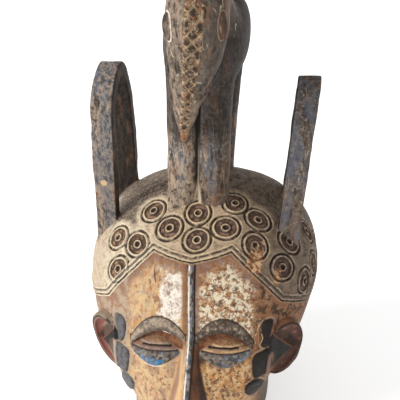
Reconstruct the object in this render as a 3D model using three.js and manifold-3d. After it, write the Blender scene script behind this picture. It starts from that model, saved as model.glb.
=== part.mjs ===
// A helmet mask carved from one block of wood: a hollow head with a long face, a band of
// concentric circles over the brow, two carved loops, and a four-legged animal on the crown.
// Millimetres, +Z up, the face looks to -Y. The rim rests on Z = 0.
import * as THREE from 'three';
import { mergeVertices } from 'three/addons/utils/BufferGeometryUtils.js';
import Module from 'manifold-3d';

const { smoothstep, clamp, degToRad, lerp } = THREE.MathUtils;
const { sin, cos, abs, sign, PI } = Math;
const V = (x, y, z) => new THREE.Vector3(x, y, z);

// The helmet
const CROWN_Z = 297;          // top of the dome above the rim
const DOME_Z = 206;           // walls end and the dome begins
const DOME_POWER = 1.85;      // how square the dome's profile is
const BACK_POWER = 2.6;       // how square the back of a level section is
const AXIS_Y = 37;            // the helmet's upright axis
const HALF_WIDTH = 121;       // at the dome's foot
const JAW_HALF_WIDTH = 80;    // at the rim
const JAW_Z = 40;             // the sides start to widen here
const FACE_REACH = 155;       // axis to the face at the cheeks
const BROW_REACH = 118;       // axis to the face at the dome's foot
const RIM_REACH = 143;        // axis to the face at the rim
const BACK_REACH = 107;
const RIM_BACK_REACH = 95;
const CHEEK_Z = 110;          // the face stands furthest forward here
const NAPE_Z = 150;           // the back is upright above this
const FOREHEAD = [184, 250];  // between these heights the face's wall runs smoothly into the dome
const FRONT_POWER = { jaw: 1.8, brow: 2.5, jawZ: 60, browZ: 166 };   // how square the face is
const WALL = 12;
const CROWN_WALL = 20;
const SWAY_Z = 190;           // below this the helmet drifts to one side
const LEAN = 0.07;            // sideways drift in each millimetre of height, crest and jaw alike

// The band of circles
const RING_RADIUS = 13.7;
const RING_DEPTH = 2.4;
const EYELET_RADIUS = 5;      // the pit in the middle of each circle
const MOTIF_ROWS = [          // elevation and azimuths from the dome's centre, in degrees
  { up: 59, around: [3, 51] },
  { up: 52, around: [-47] },
  { up: 46.5, around: [-21, 27] },
  { up: 43, around: [56] },
  { up: 41.5, around: [3] },
  { up: 32, around: [-38, 41] },
  { up: 28.5, around: [-55] },
  { up: 24, around: [64] },
  { up: 17, around: [-42, 50, 86] },
  { up: 4, around: [61, 76, 92] },
];
const HAIRLINE = [[0, 30.5], [26, 34.5], [44, 5], [62, -5], [104, -5]];   // azimuth, elevation
const LINE_WIDTH = 7;
const LINE_HEIGHT = 1.8;

// The face
const RIDGE_TOP_Z = 258;      // where the forehead's ridge meets the hairline
const RIDGE_WIDTH = 6;
const RIDGE_HEIGHT = 3.5;
const NASION_Z = 191;
const NOSE_TIP_Z = 108;
const NOSE = { root: 12, width: 42, rootHeight: 4, height: 25 };
const NOSTRIL = { x: 12, half: 9, height: 12 };
const EYE = { inner: 10, outer: 61, z: 177, slant: 3, height: 23, bulge: 6 };
const SLIT = { lift: 7, from: 0.2, width: 2.2, depth: 3 };      // between the lids
const CREASE = { lift: 0, from: 0.08, width: 1.4, depth: 2.5 };  // under the lower lid's rim
const BROW = { inner: 6, outer: 62, foot: 180, slant: 5, rise: 20, width: 12, end: 3, bulge: 4 };
const PADS = [                // x, z, half width, half height, tilt in degrees
  [75, 189, 7, 13, 4],
  [72, 158, 9, 15, 6],
  [66, 127, 8, 15, 16],
];
const PAD_BULGE = 2.6;
const MOUND_SINK = 5;         // how far the face's mounds reach into the wall
const MOUTH = { z: 79, half: 25, tall: 10, lips: 10, gap: 3.5, gapDepth: 14 };
const CHIN = { z: 40, half: 24, tall: 18, height: 8 };
const EAR = {
  x: 87, y: -63, z: 162, radii: [24, 24, 34], shell: 4.5, dish: 9, lean: 13,
  front: -72, turn: 0.75, rake: 0.12, flap: 24, flapDepth: 16,
};

// The crest
const LOOP = {
  x: 97, width: 22, thick: 12,
  front: 4, back: 92, topY: 40,
  topZ: 424, springZ: 376, footZ: 225,
};
const LOOP_SIDES = {          // toe-in brings the back arm nearer the middle
  left: { drop: -3, forward: 0, toeIn: 0.09, splay: 0, pivotZ: 0 },
  right: { drop: 8, forward: 10, toeIn: -0.02, splay: 0.045, pivotZ: 346 },
};
const LOOP_TRUE_Z = 270;      // the loops lean about this height
const LEG_TOP = 438;
const LEG_FOOT = 268;
const LEG_HALF_PAIR = 31;     // middle to the outer side of a pair of legs
const LEG_OVERLAP = 0.6;      // the two legs of a pair run into each other by this
const FRONT_LEGS = { front: -3, back: 34, haunch: 1.5 };
const HIND_LEGS = { front: 57, back: 91, haunch: 7 };   // haunch is how much the leg widens to its top
const BODY = { x: 2.5, y: 44, z: 452, half: 41, rise: 43, length: 60, fullness: 0.85 };

const wasm = await Module();
wasm.setup();

// A closed three.js geometry as a solid with its faces pointing out
function solid(geometry) {
  geometry.deleteAttribute('normal');
  geometry.deleteAttribute('uv');
  const merged = mergeVertices(geometry, 1e-3);
  const points = merged.attributes.position;
  const index = merged.index.array;
  const kept = [];
  let volume = 0;
  const [a, b, c] = [V(), V(), V()];
  for (let i = 0; i < index.length; i += 3) {
    const [p, q, r] = index.slice(i, i + 3);
    if (p === q || q === r || r === p) continue;
    a.fromBufferAttribute(points, p);
    b.fromBufferAttribute(points, q);
    c.fromBufferAttribute(points, r);
    volume += a.dot(b.cross(c));
    kept.push(p, q, r);
  }
  if (volume < 0) {
    for (let i = 0; i < kept.length; i += 3) [kept[i], kept[i + 1]] = [kept[i + 1], kept[i]];
  }
  return new wasm.Manifold(new wasm.Mesh({
    numProp: 3,
    vertProperties: Float32Array.from(points.array),
    triVerts: Uint32Array.from(kept),
  }));
}

// The geometry with every vertex moved to where place(vertex) says
function shaped(geometry, place) {
  const points = geometry.attributes.position;
  for (let i = 0; i < points.count; i++) {
    const p = place(V().fromBufferAttribute(points, i));
    points.setXYZ(i, p.x, p.y, p.z);
  }
  return solid(geometry);
}

// How much of the dome's foot is left at a height
const domeShare = (z) => {
  const rise = clamp((z - DOME_Z) / (CROWN_Z - DOME_Z), 0, 1);
  return (1 - rise ** DOME_POWER) ** (1 / DOME_POWER);
};

// The forehead's reach in the middle plane, before it is smoothed
function frontReach(z) {
  const below = clamp((CHEEK_Z - z) / CHEEK_Z, 0, 1);
  const above = clamp((z - CHEEK_Z) / (DOME_Z - CHEEK_Z), 0, 1);
  return FACE_REACH - (FACE_REACH - RIM_REACH) * below ** 2 - (FACE_REACH - BROW_REACH) * above ** 2;
}

// The same with a smooth curve over the forehead in place of the crease at the dome's foot
function smoothReach(z) {
  const [low, high] = FOREHEAD;
  if (z <= low || z >= high) return frontReach(z);
  const profile = (height) => frontReach(height) * domeShare(height);
  const slope = (height) => (profile(height + 0.5) - profile(height - 0.5)) * (high - low);
  const t = (z - low) / (high - low);
  const ends = (2 * t ** 3 - 3 * t ** 2 + 1) * profile(low) + (3 * t ** 2 - 2 * t ** 3) * profile(high);
  const leans = (t ** 3 - 2 * t ** 2 + t) * slope(low) + (t ** 3 - t ** 2) * slope(high);
  return (ends + leans) / domeShare(z);
}

// The helmet's level section at a height: half width, reach to the front and back, roundness
function section(height) {
  const z = clamp(height, 0, DOME_Z);
  return {
    half: lerp(JAW_HALF_WIDTH, HALF_WIDTH, smoothstep(z, JAW_Z, DOME_Z)),
    front: smoothReach(Math.max(0, height)),
    back: lerp(RIM_BACK_REACH, BACK_REACH, smoothstep(z, 0, NAPE_Z)),
    power: lerp(FRONT_POWER.jaw, FRONT_POWER.brow, smoothstep(z, FRONT_POWER.jawZ, FRONT_POWER.browZ)),
  };
}

// How far the middle of the helmet has drifted at a height
const sway = (z) => -LEAN * Math.max(0, SWAY_Z - z);

// 1 on the helmet's outside, less within it
function reach(p) {
  const s = section(p.z);
  const dy = p.y - AXIS_Y;
  const power = dy < 0 ? s.power : BACK_POWER;
  const depth = dy < 0 ? -dy / s.front : dy / s.back;
  const level = (abs((p.x - sway(p.z)) / s.half) ** power + depth ** power) ** (1 / power);
  const rise = Math.max(0, (p.z - DOME_Z) / (CROWN_Z - DOME_Z));
  return (level ** DOME_POWER + rise ** DOME_POWER) ** (1 / DOME_POWER);
}

function outward(p) {
  const step = 0.5;
  const at = (axis, distance) => reach(p.clone().addScaledVector(axis, distance));
  const slope = (axis) => at(axis, step) - at(axis, -step);
  return V(slope(V(1, 0, 0)), slope(V(0, 1, 0)), slope(V(0, 0, 1))).normalize();
}

// The point moved onto the helmet's outside, then outwards by lift
function onHelmet(p, lift = 0) {
  const centre = V(sway(p.z), AXIS_Y, Math.min(p.z, DOME_Z));
  const q = p.clone().sub(centre).divideScalar(reach(p)).add(centre);
  return q.addScaledVector(outward(q), lift);
}

// The face's point at a distance from the middle and a height
function onFace(x, z, lift = 0) {
  const s = section(z);
  const rise = Math.max(0, (z - DOME_Z) / (CROWN_Z - DOME_Z));
  const level = (1 - rise ** DOME_POWER) ** (1 / DOME_POWER);
  const depth = Math.max(0, level ** s.power - abs(x / s.half) ** s.power) ** (1 / s.power);
  const q = V(x + sway(z), AXIS_Y - s.front * depth, z);
  return q.addScaledVector(outward(q), lift);
}

// The dome's point in a direction from its centre
function onDome(azimuth, elevation) {
  const [a, e] = [degToRad(azimuth), degToRad(elevation)];
  const centre = V(0, AXIS_Y, DOME_Z);
  return onHelmet(V(sin(a) * cos(e), -cos(a) * cos(e), sin(e)).multiplyScalar(100).add(centre));
}

// The helmet's outside, or its hollow when inset by the wall
function helmetForm(around, inset, crownInset, footZ, wallRows, domeRows) {
  const profile = [new THREE.Vector2(0, footZ)];
  for (let i = 0; i <= wallRows; i++) profile.push(new THREE.Vector2(1, lerp(footZ, DOME_Z, i / wallRows)));
  for (let i = 1; i <= domeRows; i++) {
    const angle = (i / domeRows) * PI / 2;
    profile.push(new THREE.Vector2(cos(angle) ** (2 / DOME_POWER), DOME_Z + sin(angle) ** (2 / DOME_POWER)));
  }
  profile[profile.length - 1].x = 0;
  return shaped(new THREE.LatheGeometry(profile, around), (p) => {
    const ratio = Math.hypot(p.x, p.z);
    const z = p.y;
    const height = z <= DOME_Z ? z : DOME_Z + (z - DOME_Z) * (CROWN_Z - crownInset - DOME_Z);
    const s = section(inset > 0 ? Math.min(height, DOME_Z) : height);
    if (ratio < 1e-6) return V(sway(z), AXIS_Y, height);
    const [dx, dy] = [p.x / ratio, p.z / ratio];
    const power = dy < 0 ? s.power : BACK_POWER;
    const span = dy < 0 ? s.front - inset : s.back - inset;
    const level = (abs(dx / (s.half - inset)) ** power + abs(dy / span) ** power) ** (1 / power);
    return V(sway(z) + dx * ratio / level, AXIS_Y + dy * ratio / level, height);
  });
}

// A strip that follows the surface: path(t) is its middle, sized by width(t) and height(t)
function strip(path, width, height, { along = 8, across = 2, sink = 3 } = {}) {
  return shaped(new THREE.BoxGeometry(1, 1, 1, along, across, 1), (p) => {
    const t = p.x + 0.5;
    const middle = path(t);
    const ahead = path(Math.min(1, t + 0.01)).sub(path(Math.max(0, t - 0.01)));
    const up = outward(middle);
    const side = ahead.cross(up).normalize();
    const q = onHelmet(middle.addScaledVector(side, p.y * width(t)));
    const crowned = across > 1 ? height(t) * (1 - (2 * p.y) ** 2) + 0.3 : height(t);
    return q.addScaledVector(up, p.z > 0 ? crowned : -sink);
  });
}

// A low oval mound on the face
function mound(x, z, half, tall, height, tilt = 0, around = 12) {
  const turn = degToRad(tilt);
  return shaped(new THREE.SphereGeometry(1, around, 5), (p) => {
    const [u, w] = [p.x * half, p.y * tall];
    const lift = p.z * (p.z > 0 ? height : MOUND_SINK);
    return onFace(x + u * cos(turn) - w * sin(turn), z + u * sin(turn) + w * cos(turn), lift);
  });
}

// A form made for the left and the right: side is -1 or 1
const both = (make) => make(-1).add(make(1));
const arch = (t) => sin(PI * t);

// One concentric circle: a ring groove about a point of the dome, and a pit in its middle
function motifGrooves(azimuth, elevation) {
  const centre = onDome(azimuth, elevation);
  const up = outward(centre);
  const side = V(0, 0, 1).cross(up).normalize();
  const over = up.clone().cross(side);
  const place = (p) => onHelmet(centre.clone().addScaledVector(side, p.x).addScaledVector(over, p.y), p.z);
  const ring = shaped(new THREE.TorusGeometry(RING_RADIUS, RING_DEPTH, 4, 8), place);
  const pit = new THREE.ConeGeometry(EYELET_RADIUS, 2 * RING_DEPTH, 6).rotateX(-PI / 2);
  return [ring, shaped(pit, place)];
}

function bandGrooves() {
  const cuts = [];
  for (const row of MOTIF_ROWS) {
    for (const azimuth of row.around) cuts.push(...motifGrooves(azimuth, row.up));
  }
  return wasm.Manifold.union(cuts);
}

// The raised moulding along the hairline
function hairline(side) {
  const runs = [];
  for (let i = 1; i < HAIRLINE.length; i++) {
    const [from, to] = [HAIRLINE[i - 1], HAIRLINE[i]];
    const along = Math.max(2, Math.round((to[0] - from[0]) / 12));
    runs.push(strip(
      (t) => onDome(side * lerp(from[0], to[0], t * 1.02 - 0.01), lerp(from[1], to[1], t * 1.02 - 0.01)),
      () => LINE_WIDTH, () => LINE_HEIGHT, { along, across: 1 },
    ));
  }
  return wasm.Manifold.union(runs);
}

function foreheadRidge() {
  const path = (t) => onFace(0, lerp(RIDGE_TOP_Z, NASION_Z - 2, t));
  return strip(path, () => RIDGE_WIDTH, () => RIDGE_HEIGHT, { along: 6 });
}

function nose() {
  const bridge = strip(
    (t) => onFace(0, lerp(NASION_Z + 3, NOSE_TIP_Z, t)),
    (t) => lerp(NOSE.root, NOSE.width, t),
    (t) => lerp(NOSE.rootHeight, NOSE.height, t ** 0.9),
    { along: 4, sink: 4 },
  );
  const nostril = (side) => mound(
    side * NOSTRIL.x, NOSE_TIP_Z + NOSTRIL.half - 2, NOSTRIL.half, NOSTRIL.half, NOSTRIL.height, 0, 8,
  );
  return bridge.add(both(nostril));
}

// A bowed brow: a raised band, thin at both ends
function brow(side) {
  return strip(
    (t) => onFace(
      side * lerp(BROW.inner, BROW.outer, t),
      lerp(BROW.foot + BROW.slant, BROW.foot, t) + BROW.rise * arch(t) ** 0.8,
    ),
    (t) => lerp(BROW.end, BROW.width, arch(t)),
    (t) => lerp(BROW.end / 2, BROW.bulge, arch(t)),
  );
}

// A heavy closed lid, with the slit between the lids and the crease under the lower rim
function eye(side) {
  const path = (t, lift) => onFace(
    side * lerp(EYE.inner, EYE.outer, t),
    lerp(EYE.z + EYE.slant, EYE.z, t) + lift,
  );
  const lids = strip(
    (t) => path(t, -arch(t)),
    (t) => 3 + EYE.height * arch(t),
    (t) => 0.5 + EYE.bulge * arch(t),
    { along: 7, across: 4 },
  );
  const cut = ({ lift, from, width, depth }) => strip(
    (t) => path(lerp(from, 1 - from, t), lift),
    () => width,
    () => 2 * EYE.bulge,
    { along: 5, across: 1, sink: depth - EYE.bulge },
  );
  return lids.subtract(cut(SLIT)).subtract(cut(CREASE));
}

function pads(side) {
  return wasm.Manifold.union(PADS.map(([x, z, half, tall, tilt]) => (
    mound(side * x, z, half, tall, PAD_BULGE, side * tilt, 8)
  )));
}

function mouth() {
  const lips = mound(0, MOUTH.z, MOUTH.half, MOUTH.tall, MOUTH.lips);
  const gap = shaped(new THREE.BoxGeometry(MOUTH.half * 1.5, 1, MOUTH.gap, 4, 1, 1), (p) => (
    onFace(p.x, MOUTH.z + p.z * (1 - abs(p.x) / MOUTH.half), p.y > 0 ? 3 : MOUTH.gapDepth)
  ));
  return lips.subtract(gap);
}

const chin = () => mound(0, CHIN.z, CHIN.half, CHIN.tall, CHIN.height, 0, 10);

// A half-moon ear, dished at the front, with a three-cornered flap before its hole
function ear(side) {
  const lean = degToRad(EAR.lean);
  const place = (x, y, z) => V(
    side * (EAR.x + x * cos(lean) + z * sin(lean)),
    EAR.y + y,
    EAR.z + z * cos(lean) - x * sin(lean),
  );
  const frontY = (x, z) => EAR.front - EAR.y + x * EAR.turn + z * EAR.rake;
  const cup = shaped(new THREE.SphereGeometry(1, 12, 8), (p) => (
    place(p.x * EAR.radii[0], p.y * EAR.radii[1], p.z * EAR.radii[2])
  ));
  const dish = shaped(new THREE.SphereGeometry(1, 12, 8), (p) => {
    const [x, z] = [p.x * (EAR.radii[0] - EAR.shell), p.z * (EAR.radii[2] - EAR.shell)];
    return place(x, frontY(x, z) + p.y * EAR.dish, z);
  });
  const front = shaped(new THREE.BoxGeometry(80, 60, 90), (p) => (
    place(p.x, frontY(p.x, p.z) + p.y - 30, p.z)
  ));
  const outline = new THREE.Shape();
  outline.moveTo(-EAR.radii[0] / 2, -EAR.flap);
  outline.lineTo(EAR.flap / 2, 0);
  outline.lineTo(-EAR.radii[0] / 2, EAR.flap);
  const wedge = new THREE.ExtrudeGeometry(outline, { depth: EAR.flapDepth, bevelEnabled: false });
  const flap = shaped(wedge, (p) => place(p.x, frontY(p.x, p.y) + p.z, p.y));
  return cup.subtract(dish).subtract(front).add(flap);
}

// Leans a form of the crest to the side
const leaning = (x, z) => x + LEAN * (z - CROWN_Z);

// One loop: a strap bent into a tall arch that runs from front to back
function loop(side) {
  const { drop, forward, toeIn, splay, pivotZ } = side > 0 ? LOOP_SIDES.right : LOOP_SIDES.left;
  const springZ = LOOP.springZ - drop;
  const [rise, fall] = [LOOP.topZ - LOOP.springZ, LOOP.topZ - drop - LOOP.footZ];
  const [front, back, thick] = [LOOP.topY - LOOP.front, LOOP.back - LOOP.topY, LOOP.thick];
  const crownThick = thick * 1.3;
  const outline = new THREE.Shape();
  outline.moveTo(LOOP.front, LOOP.footZ);
  outline.lineTo(LOOP.front, springZ);
  outline.absellipse(LOOP.topY, springZ, front, rise, PI, PI / 2, true);
  outline.absellipse(LOOP.topY, LOOP.footZ, back, fall, PI / 2, 0, true);
  outline.lineTo(LOOP.back - thick, LOOP.footZ);
  outline.absellipse(LOOP.topY, LOOP.footZ, back - thick, fall - crownThick, 0, PI / 2, false);
  outline.absellipse(LOOP.topY, springZ, front - thick, rise - crownThick, PI / 2, PI, false);
  outline.lineTo(LOOP.front + thick, LOOP.footZ);
  const cut = { depth: LOOP.width, bevelEnabled: false, curveSegments: 6 };
  const strap = new THREE.ExtrudeGeometry(outline, cut);
  return shaped(strap, (p) => {
    const x = side * (LOOP.x - toeIn * (p.x - LOOP.front)) + p.z - LOOP.width / 2;
    return V(x + LEAN * (p.y - LOOP_TRUE_Z) + splay * (p.y - pivotZ), p.x - forward, p.y);
  });
}

// A round form along Z: its middle, half width and half depth come from functions of t, and
// under(t) is how much of the half depth its rear side has
function limb(middle, halfWidth, halfDepth, around = 12, along = 6, power = 2.4, under = () => 1) {
  return shaped(new THREE.CylinderGeometry(1, 1, 1, around, along), (p) => {
    const t = p.y + 0.5;
    const ratio = Math.hypot(p.x, p.z);
    const c = middle(t);
    if (ratio < 1e-6) return c;
    const level = (abs(p.x / ratio) ** power + abs(p.z / ratio) ** power) ** (1 / power);
    const [u, w] = [p.x / level, p.z / level];
    const ahead = middle(Math.min(1, t + 0.02)).sub(middle(Math.max(0, t - 0.02))).normalize();
    const depthAxis = V(1, 0, 0).cross(ahead).normalize();
    const depth = w * halfDepth(t) * (w > 0 ? under(t) : 1);
    return c.add(V(u * halfWidth(t), 0, 0)).addScaledVector(depthAxis, depth);
  });
}

function leg(side, { front, back, haunch }) {
  const half = LEG_HALF_PAIR / 2 + LEG_OVERLAP;
  const middleY = (front + back) / 2;
  return limb(
    (t) => {
      const z = lerp(LEG_FOOT, LEG_TOP, t);
      return V(leaning(side * (LEG_HALF_PAIR - half + haunch / 2 * t ** 2), z), middleY, z);
    },
    (t) => half + haunch / 2 * t ** 2, () => (back - front) / 2, 10, 3,
  );
}

function body() {
  return shaped(new THREE.SphereGeometry(1, 14, 9), (p) => {
    const swell = (v) => sign(v) * abs(v) ** BODY.fullness;
    const z = BODY.z + swell(p.z) * BODY.rise;
    return V(leaning(BODY.x + swell(p.x) * BODY.half, z), BODY.y + swell(p.y) * BODY.length, z);
  });
}

// The neck arches up from the shoulders and over, and the head hangs down in front
const CREST_LINE = new THREE.CatmullRomCurve3([
  V(0, 22, 470), V(0, 4, 502), V(2, -14, 522), V(3, -31, 512), V(1, -34, 480),
  V(-3, -31, 445), V(-8, -22, 412), V(-12, -8, 370),
], false, 'centripetal');
const TAIL_LINE = new THREE.CatmullRomCurve3([V(0, 96, 468), V(0, 112, 450), V(0, 108, 410), V(0, 92, 372)]);
const TAIL_HALF = 8;
const HEAD_UNDER = 0.55;      // how deep the head's rear side is beside its front
const HEAD_FROM = 0.3;        // the neck turns into the head here on the crest's line
const RIDGE = { from: 0.42, to: 0.98, half: 5, proud: 2.5 };
const ANIMAL_EYE = { t: 0.5, half: [5, 6, 13], out: 0.86, forward: 0.5 };
const CREST_SIZES = [         // place along the line, half width, half depth
  [0, 33, 30], [0.17, 28, 27], [0.33, 25, 25], [0.5, 27, 25], [0.6, 24.5, 22],
  [0.72, 18.5, 17], [0.86, 12, 11], [1, 4, 5],
];

function crestSize(t, column) {
  let i = 1;
  while (i < CREST_SIZES.length - 1 && CREST_SIZES[i][0] < t) i++;
  const [from, to] = [CREST_SIZES[i - 1], CREST_SIZES[i]];
  return lerp(from[column], to[column], smoothstep(t, from[0], to[0]));
}

function neckAndHead() {
  const under = (t) => lerp(1, HEAD_UNDER, smoothstep(t, HEAD_FROM, 0.55));
  return limb(crestPoint, (t) => crestSize(t, 1), (t) => crestSize(t, 2), 10, 15, 2.1, under);
}

// The place on the crest's middle line, leaning with the rest
function crestPoint(t) {
  const p = CREST_LINE.getPoint(t);
  return V(leaning(p.x, p.z), p.y, p.z);
}

// The ridge down the middle of the head, from the brow to the snout's tip
function snoutRidge() {
  return limb(
    (t) => {
      const at = lerp(RIDGE.from, RIDGE.to, t);
      const ahead = crestPoint(at + 0.01).sub(crestPoint(at - 0.01)).normalize();
      const out = V(1, 0, 0).cross(ahead).normalize();
      return crestPoint(at).addScaledVector(out, -crestSize(at, 2) + RIDGE.half - RIDGE.proud);
    },
    (t) => lerp(RIDGE.half, RIDGE.half * 0.6, t), () => RIDGE.half, 4, 7, 1.2,
  );
}

function animalEye(side) {
  const middle = crestPoint(ANIMAL_EYE.t);
  const width = crestSize(ANIMAL_EYE.t, 1);
  return shaped(new THREE.SphereGeometry(1, 6, 5), (p) => V(
    middle.x + side * width * ANIMAL_EYE.out + p.x * ANIMAL_EYE.half[0],
    middle.y - width * ANIMAL_EYE.forward + p.y * ANIMAL_EYE.half[1],
    middle.z + p.z * ANIMAL_EYE.half[2],
  ));
}

function tail() {
  const at = (t) => {
    const p = TAIL_LINE.getPoint(t);
    return V(leaning(p.x, p.z), p.y, p.z);
  };
  return limb(at, () => TAIL_HALF, () => TAIL_HALF, 6, 4, 2);
}

function carve() {
  const outside = helmetForm(40, 0, 0, 0, 6, 6);
  const hollow = helmetForm(20, WALL, CROWN_WALL, -6, 3, 4);
  const mask = wasm.Manifold.union([
    outside.subtract(bandGrooves()), both(hairline),
    foreheadRidge(), both(brow), both(eye), nose(), both(pads), both(ear), mouth(), chin(),
    both(loop),
    both((side) => leg(side, FRONT_LEGS)), both((side) => leg(side, HIND_LEGS)),
    body(), neckAndHead(), snoutRidge(), both(animalEye), tail(),
  ]);
  return mask.subtract(hollow);
}

function meshOf(form, name, material) {
  const { vertProperties, triVerts } = form.getMesh();
  const geometry = new THREE.BufferGeometry();
  geometry.setAttribute('position', new THREE.BufferAttribute(Float32Array.from(vertProperties), 3));
  geometry.setIndex(new THREE.BufferAttribute(Uint32Array.from(triVerts), 1));
  geometry.computeVertexNormals();
  const mesh = new THREE.Mesh(geometry, material);
  mesh.name = name;
  return mesh;
}

const wood = new THREE.MeshStandardMaterial({ color: 0x6b5a4a, roughness: 0.7, metalness: 0 });
const mask = new THREE.Group();
mask.add(meshOf(carve(), 'helmet_mask', wood));

export default mask;
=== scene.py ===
# A carved wooden helmet mask: a hollow head with a long face, a band of concentric circles over
# the brow, two tall loops, and a four-legged animal on the crown. It is one piece of wood, so it is
# one mesh, made from signed distances in millimetres, and one painted and worn finish.
import math
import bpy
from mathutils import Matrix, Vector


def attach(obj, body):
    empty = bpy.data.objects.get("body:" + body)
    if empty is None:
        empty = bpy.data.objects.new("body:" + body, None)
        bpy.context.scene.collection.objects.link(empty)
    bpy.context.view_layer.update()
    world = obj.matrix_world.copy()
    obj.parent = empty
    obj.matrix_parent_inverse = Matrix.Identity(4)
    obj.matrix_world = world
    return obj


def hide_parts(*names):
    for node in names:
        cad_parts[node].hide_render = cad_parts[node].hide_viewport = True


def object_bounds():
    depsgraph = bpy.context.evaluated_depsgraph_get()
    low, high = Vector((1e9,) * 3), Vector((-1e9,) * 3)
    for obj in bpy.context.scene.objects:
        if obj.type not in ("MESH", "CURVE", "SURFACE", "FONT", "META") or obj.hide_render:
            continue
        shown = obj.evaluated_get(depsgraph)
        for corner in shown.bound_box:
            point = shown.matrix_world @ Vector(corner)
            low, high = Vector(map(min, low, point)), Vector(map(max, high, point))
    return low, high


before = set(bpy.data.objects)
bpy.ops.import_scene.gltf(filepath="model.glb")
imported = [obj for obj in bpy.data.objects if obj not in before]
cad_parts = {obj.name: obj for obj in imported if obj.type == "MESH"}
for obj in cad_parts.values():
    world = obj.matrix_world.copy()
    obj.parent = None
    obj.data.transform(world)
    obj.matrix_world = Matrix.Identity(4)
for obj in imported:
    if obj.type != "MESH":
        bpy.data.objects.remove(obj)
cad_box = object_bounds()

from concurrent.futures import ThreadPoolExecutor
from types import SimpleNamespace as Sizes

import bpy
import numpy as np
import openvdb
from mathutils import Matrix, Vector

MM = 0.001
TINY = 1e-9

# The helmet, in millimetres, with the same sizes as the solid
CROWN_Z = 297
DOME_Z = 206
DOME_POWER = 1.85
BACK_POWER = 2.6
AXIS_Y = 37
HALF_WIDTH = 121
JAW_HALF_WIDTH = 80
JAW_Z = 40
FACE_REACH = 155
BROW_REACH = 118
RIM_REACH = 143
BACK_REACH = 107
RIM_BACK_REACH = 95
CHEEK_Z = 110
NAPE_Z = 150
FOREHEAD = Sizes(low=184, high=250)
FRONT_POWER = Sizes(jaw=1.8, brow=2.5, jaw_z=60, brow_z=166)
WALL = 12
CROWN_WALL = 20
SWAY_Z = 190
LEAN = 0.07

# The band of circles: elevation and azimuths from the dome's centre, in degrees
MOTIF_ROWS = {
    59: [3, 51],
    52: [-47],
    46.5: [-21, 27],
    43: [56],
    41.5: [3],
    32: [-38, 41],
    28.5: [-55],
    24: [64],
    17: [-42, 50, 86],
    4: [61, 76, 92],
}
RING = Sizes(reach=24, uneven=0.05, turn=2.4)
HAIRLINE = np.array([[0, 30.5], [26, 34.5], [44, 5], [62, -5], [104, -5]], float)
HAIR_END = Sizes(start=(-101, -6, 246), end=(-90, -51, 219), depth=1.4)

# The face
RIDGE = Sizes(top=258, half=2.4, groove=3.6, height=3, depth=1)
NASION_Z = 191
NOSE_TIP_Z = 108
NOSE = Sizes(root=12, width=42, root_height=4, height=25)
NOSTRIL = Sizes(x=12, half=9, height=12)
NOSE_STRIP = Sizes(height=1.2, groove=4.4, depth=0.9)
EYE = Sizes(inner=10, outer=61, z=177, slant=3, height=23, bulge=6)
BROW = Sizes(inner=5, outer=62, foot=180, slant=9, rise=18.5, width=13, end=4, bulge=4)
SLIT = Sizes(middle=6, ends=3.5, start=0.17, end=0.74, depth=2.6)
CREASE = Sizes(middle=1.9, ends=0.4, start=0.03, end=0.96, depth=1.8)
PADS = [(75, 189, 7, 13, 4, 2.6), (72, 158, 9, 15, 6, 4.5), (66, 127, 8, 15, 16, 2.4)]
PAD_BULGE = 2.6
PAD_OUTLINE = 0.7
SOCKET_DEPTH = 3.2
SIDE_LINE = Sizes(top=(82, 200), foot=(77, 135), width=3, height=1.6)
MOUTH = Sizes(z=79, half=25, tall=10, lips=10, gap=3.5, gap_depth=7)
CHIN = Sizes(z=40, half=24, tall=18, height=8)
EAR = Sizes(
    x=87, y=-63, z=162, radii=(24, 24, 34), shell=4.5, dish=9, lean=13,
    front=-72, turn=0.75, rake=0.12, flap=24, flap_depth=16,
)

# The crest
LOOP = Sizes(x=97, width=22, thick=12, front=4, back=92, top_y=40, top_z=424, spring_z=376, foot_z=225)
LOOP_SIDES = {
    -1: Sizes(drop=-3, forward=0, toe_in=0.09, splay=0, pivot_z=0),
    1: Sizes(drop=8, forward=10, toe_in=-0.02, splay=0.045, pivot_z=346),
}
LOOP_TRUE_Z = 270
LEG_TOP = 438
LEG_FOOT = 268
LEG_HALF_PAIR = 31
LEG_OVERLAP = 0.6
LEGS = [Sizes(front=-3, back=34, haunch=1.5), Sizes(front=57, back=91, haunch=7)]
BODY = Sizes(x=2.5, y=44, z=452, half=41, rise=43, length=60, fullness=0.85)
CREST_LINE = np.array([
    (0, 22, 470), (0, 4, 502), (2, -14, 522), (3, -31, 512), (1, -34, 480),
    (-3, -31, 445), (-8, -22, 412), (-12, -8, 370),
], float)
CREST_SIZES = np.array([
    (0, 33, 30), (0.17, 28, 27), (0.33, 25, 25), (0.5, 27, 25),
    (0.6, 24.5, 22), (0.72, 18.5, 17), (0.86, 12, 11), (1, 4, 5),
], float)
TAIL_LINE = np.array([(0, 96, 468), (0, 112, 450), (0, 108, 410), (0, 92, 372)], float)
TAIL_HALF = 8
TAIL_STATIONS = 24
CREST_STATIONS = 56
HEAD = Sizes(start=0.3, end=0.55, under=0.55, slice=0.8, power=2.1)
SNOUT = Sizes(start=0.34, end=0.93, half=6.6, height=3, pitch=11.5, stroke=2)
PAINT_FROM = Sizes(snout=350, under_head=330, head_rim=380)
ANIMAL_EYE = Sizes(t=0.5, out=0.86, forward=0.5, half=(4, 5.5, 12))

# How fine the mesh is
STEP = 1.05
TRIANGLES = 196_000
BLOCK = 8
FIELD_LIMIT = 4  # the field is only kept this near to the surface
MARGIN = 6

# Distances that stand for nowhere near, and the random table's size
FAR = 40
FAR_OFF = 60
LATTICE = 32

# How near to the helmet's surface its carving is worked out, and the boxes the carving lies in
NEAR = 30
BAND_BOX = (-200, -200, 170), (200, 200, 320)
FACE_BOX = (-108, -200, 10), (108, 8, 265)
CHUNKS = Sizes(rough=4000, fine=300)


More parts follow.
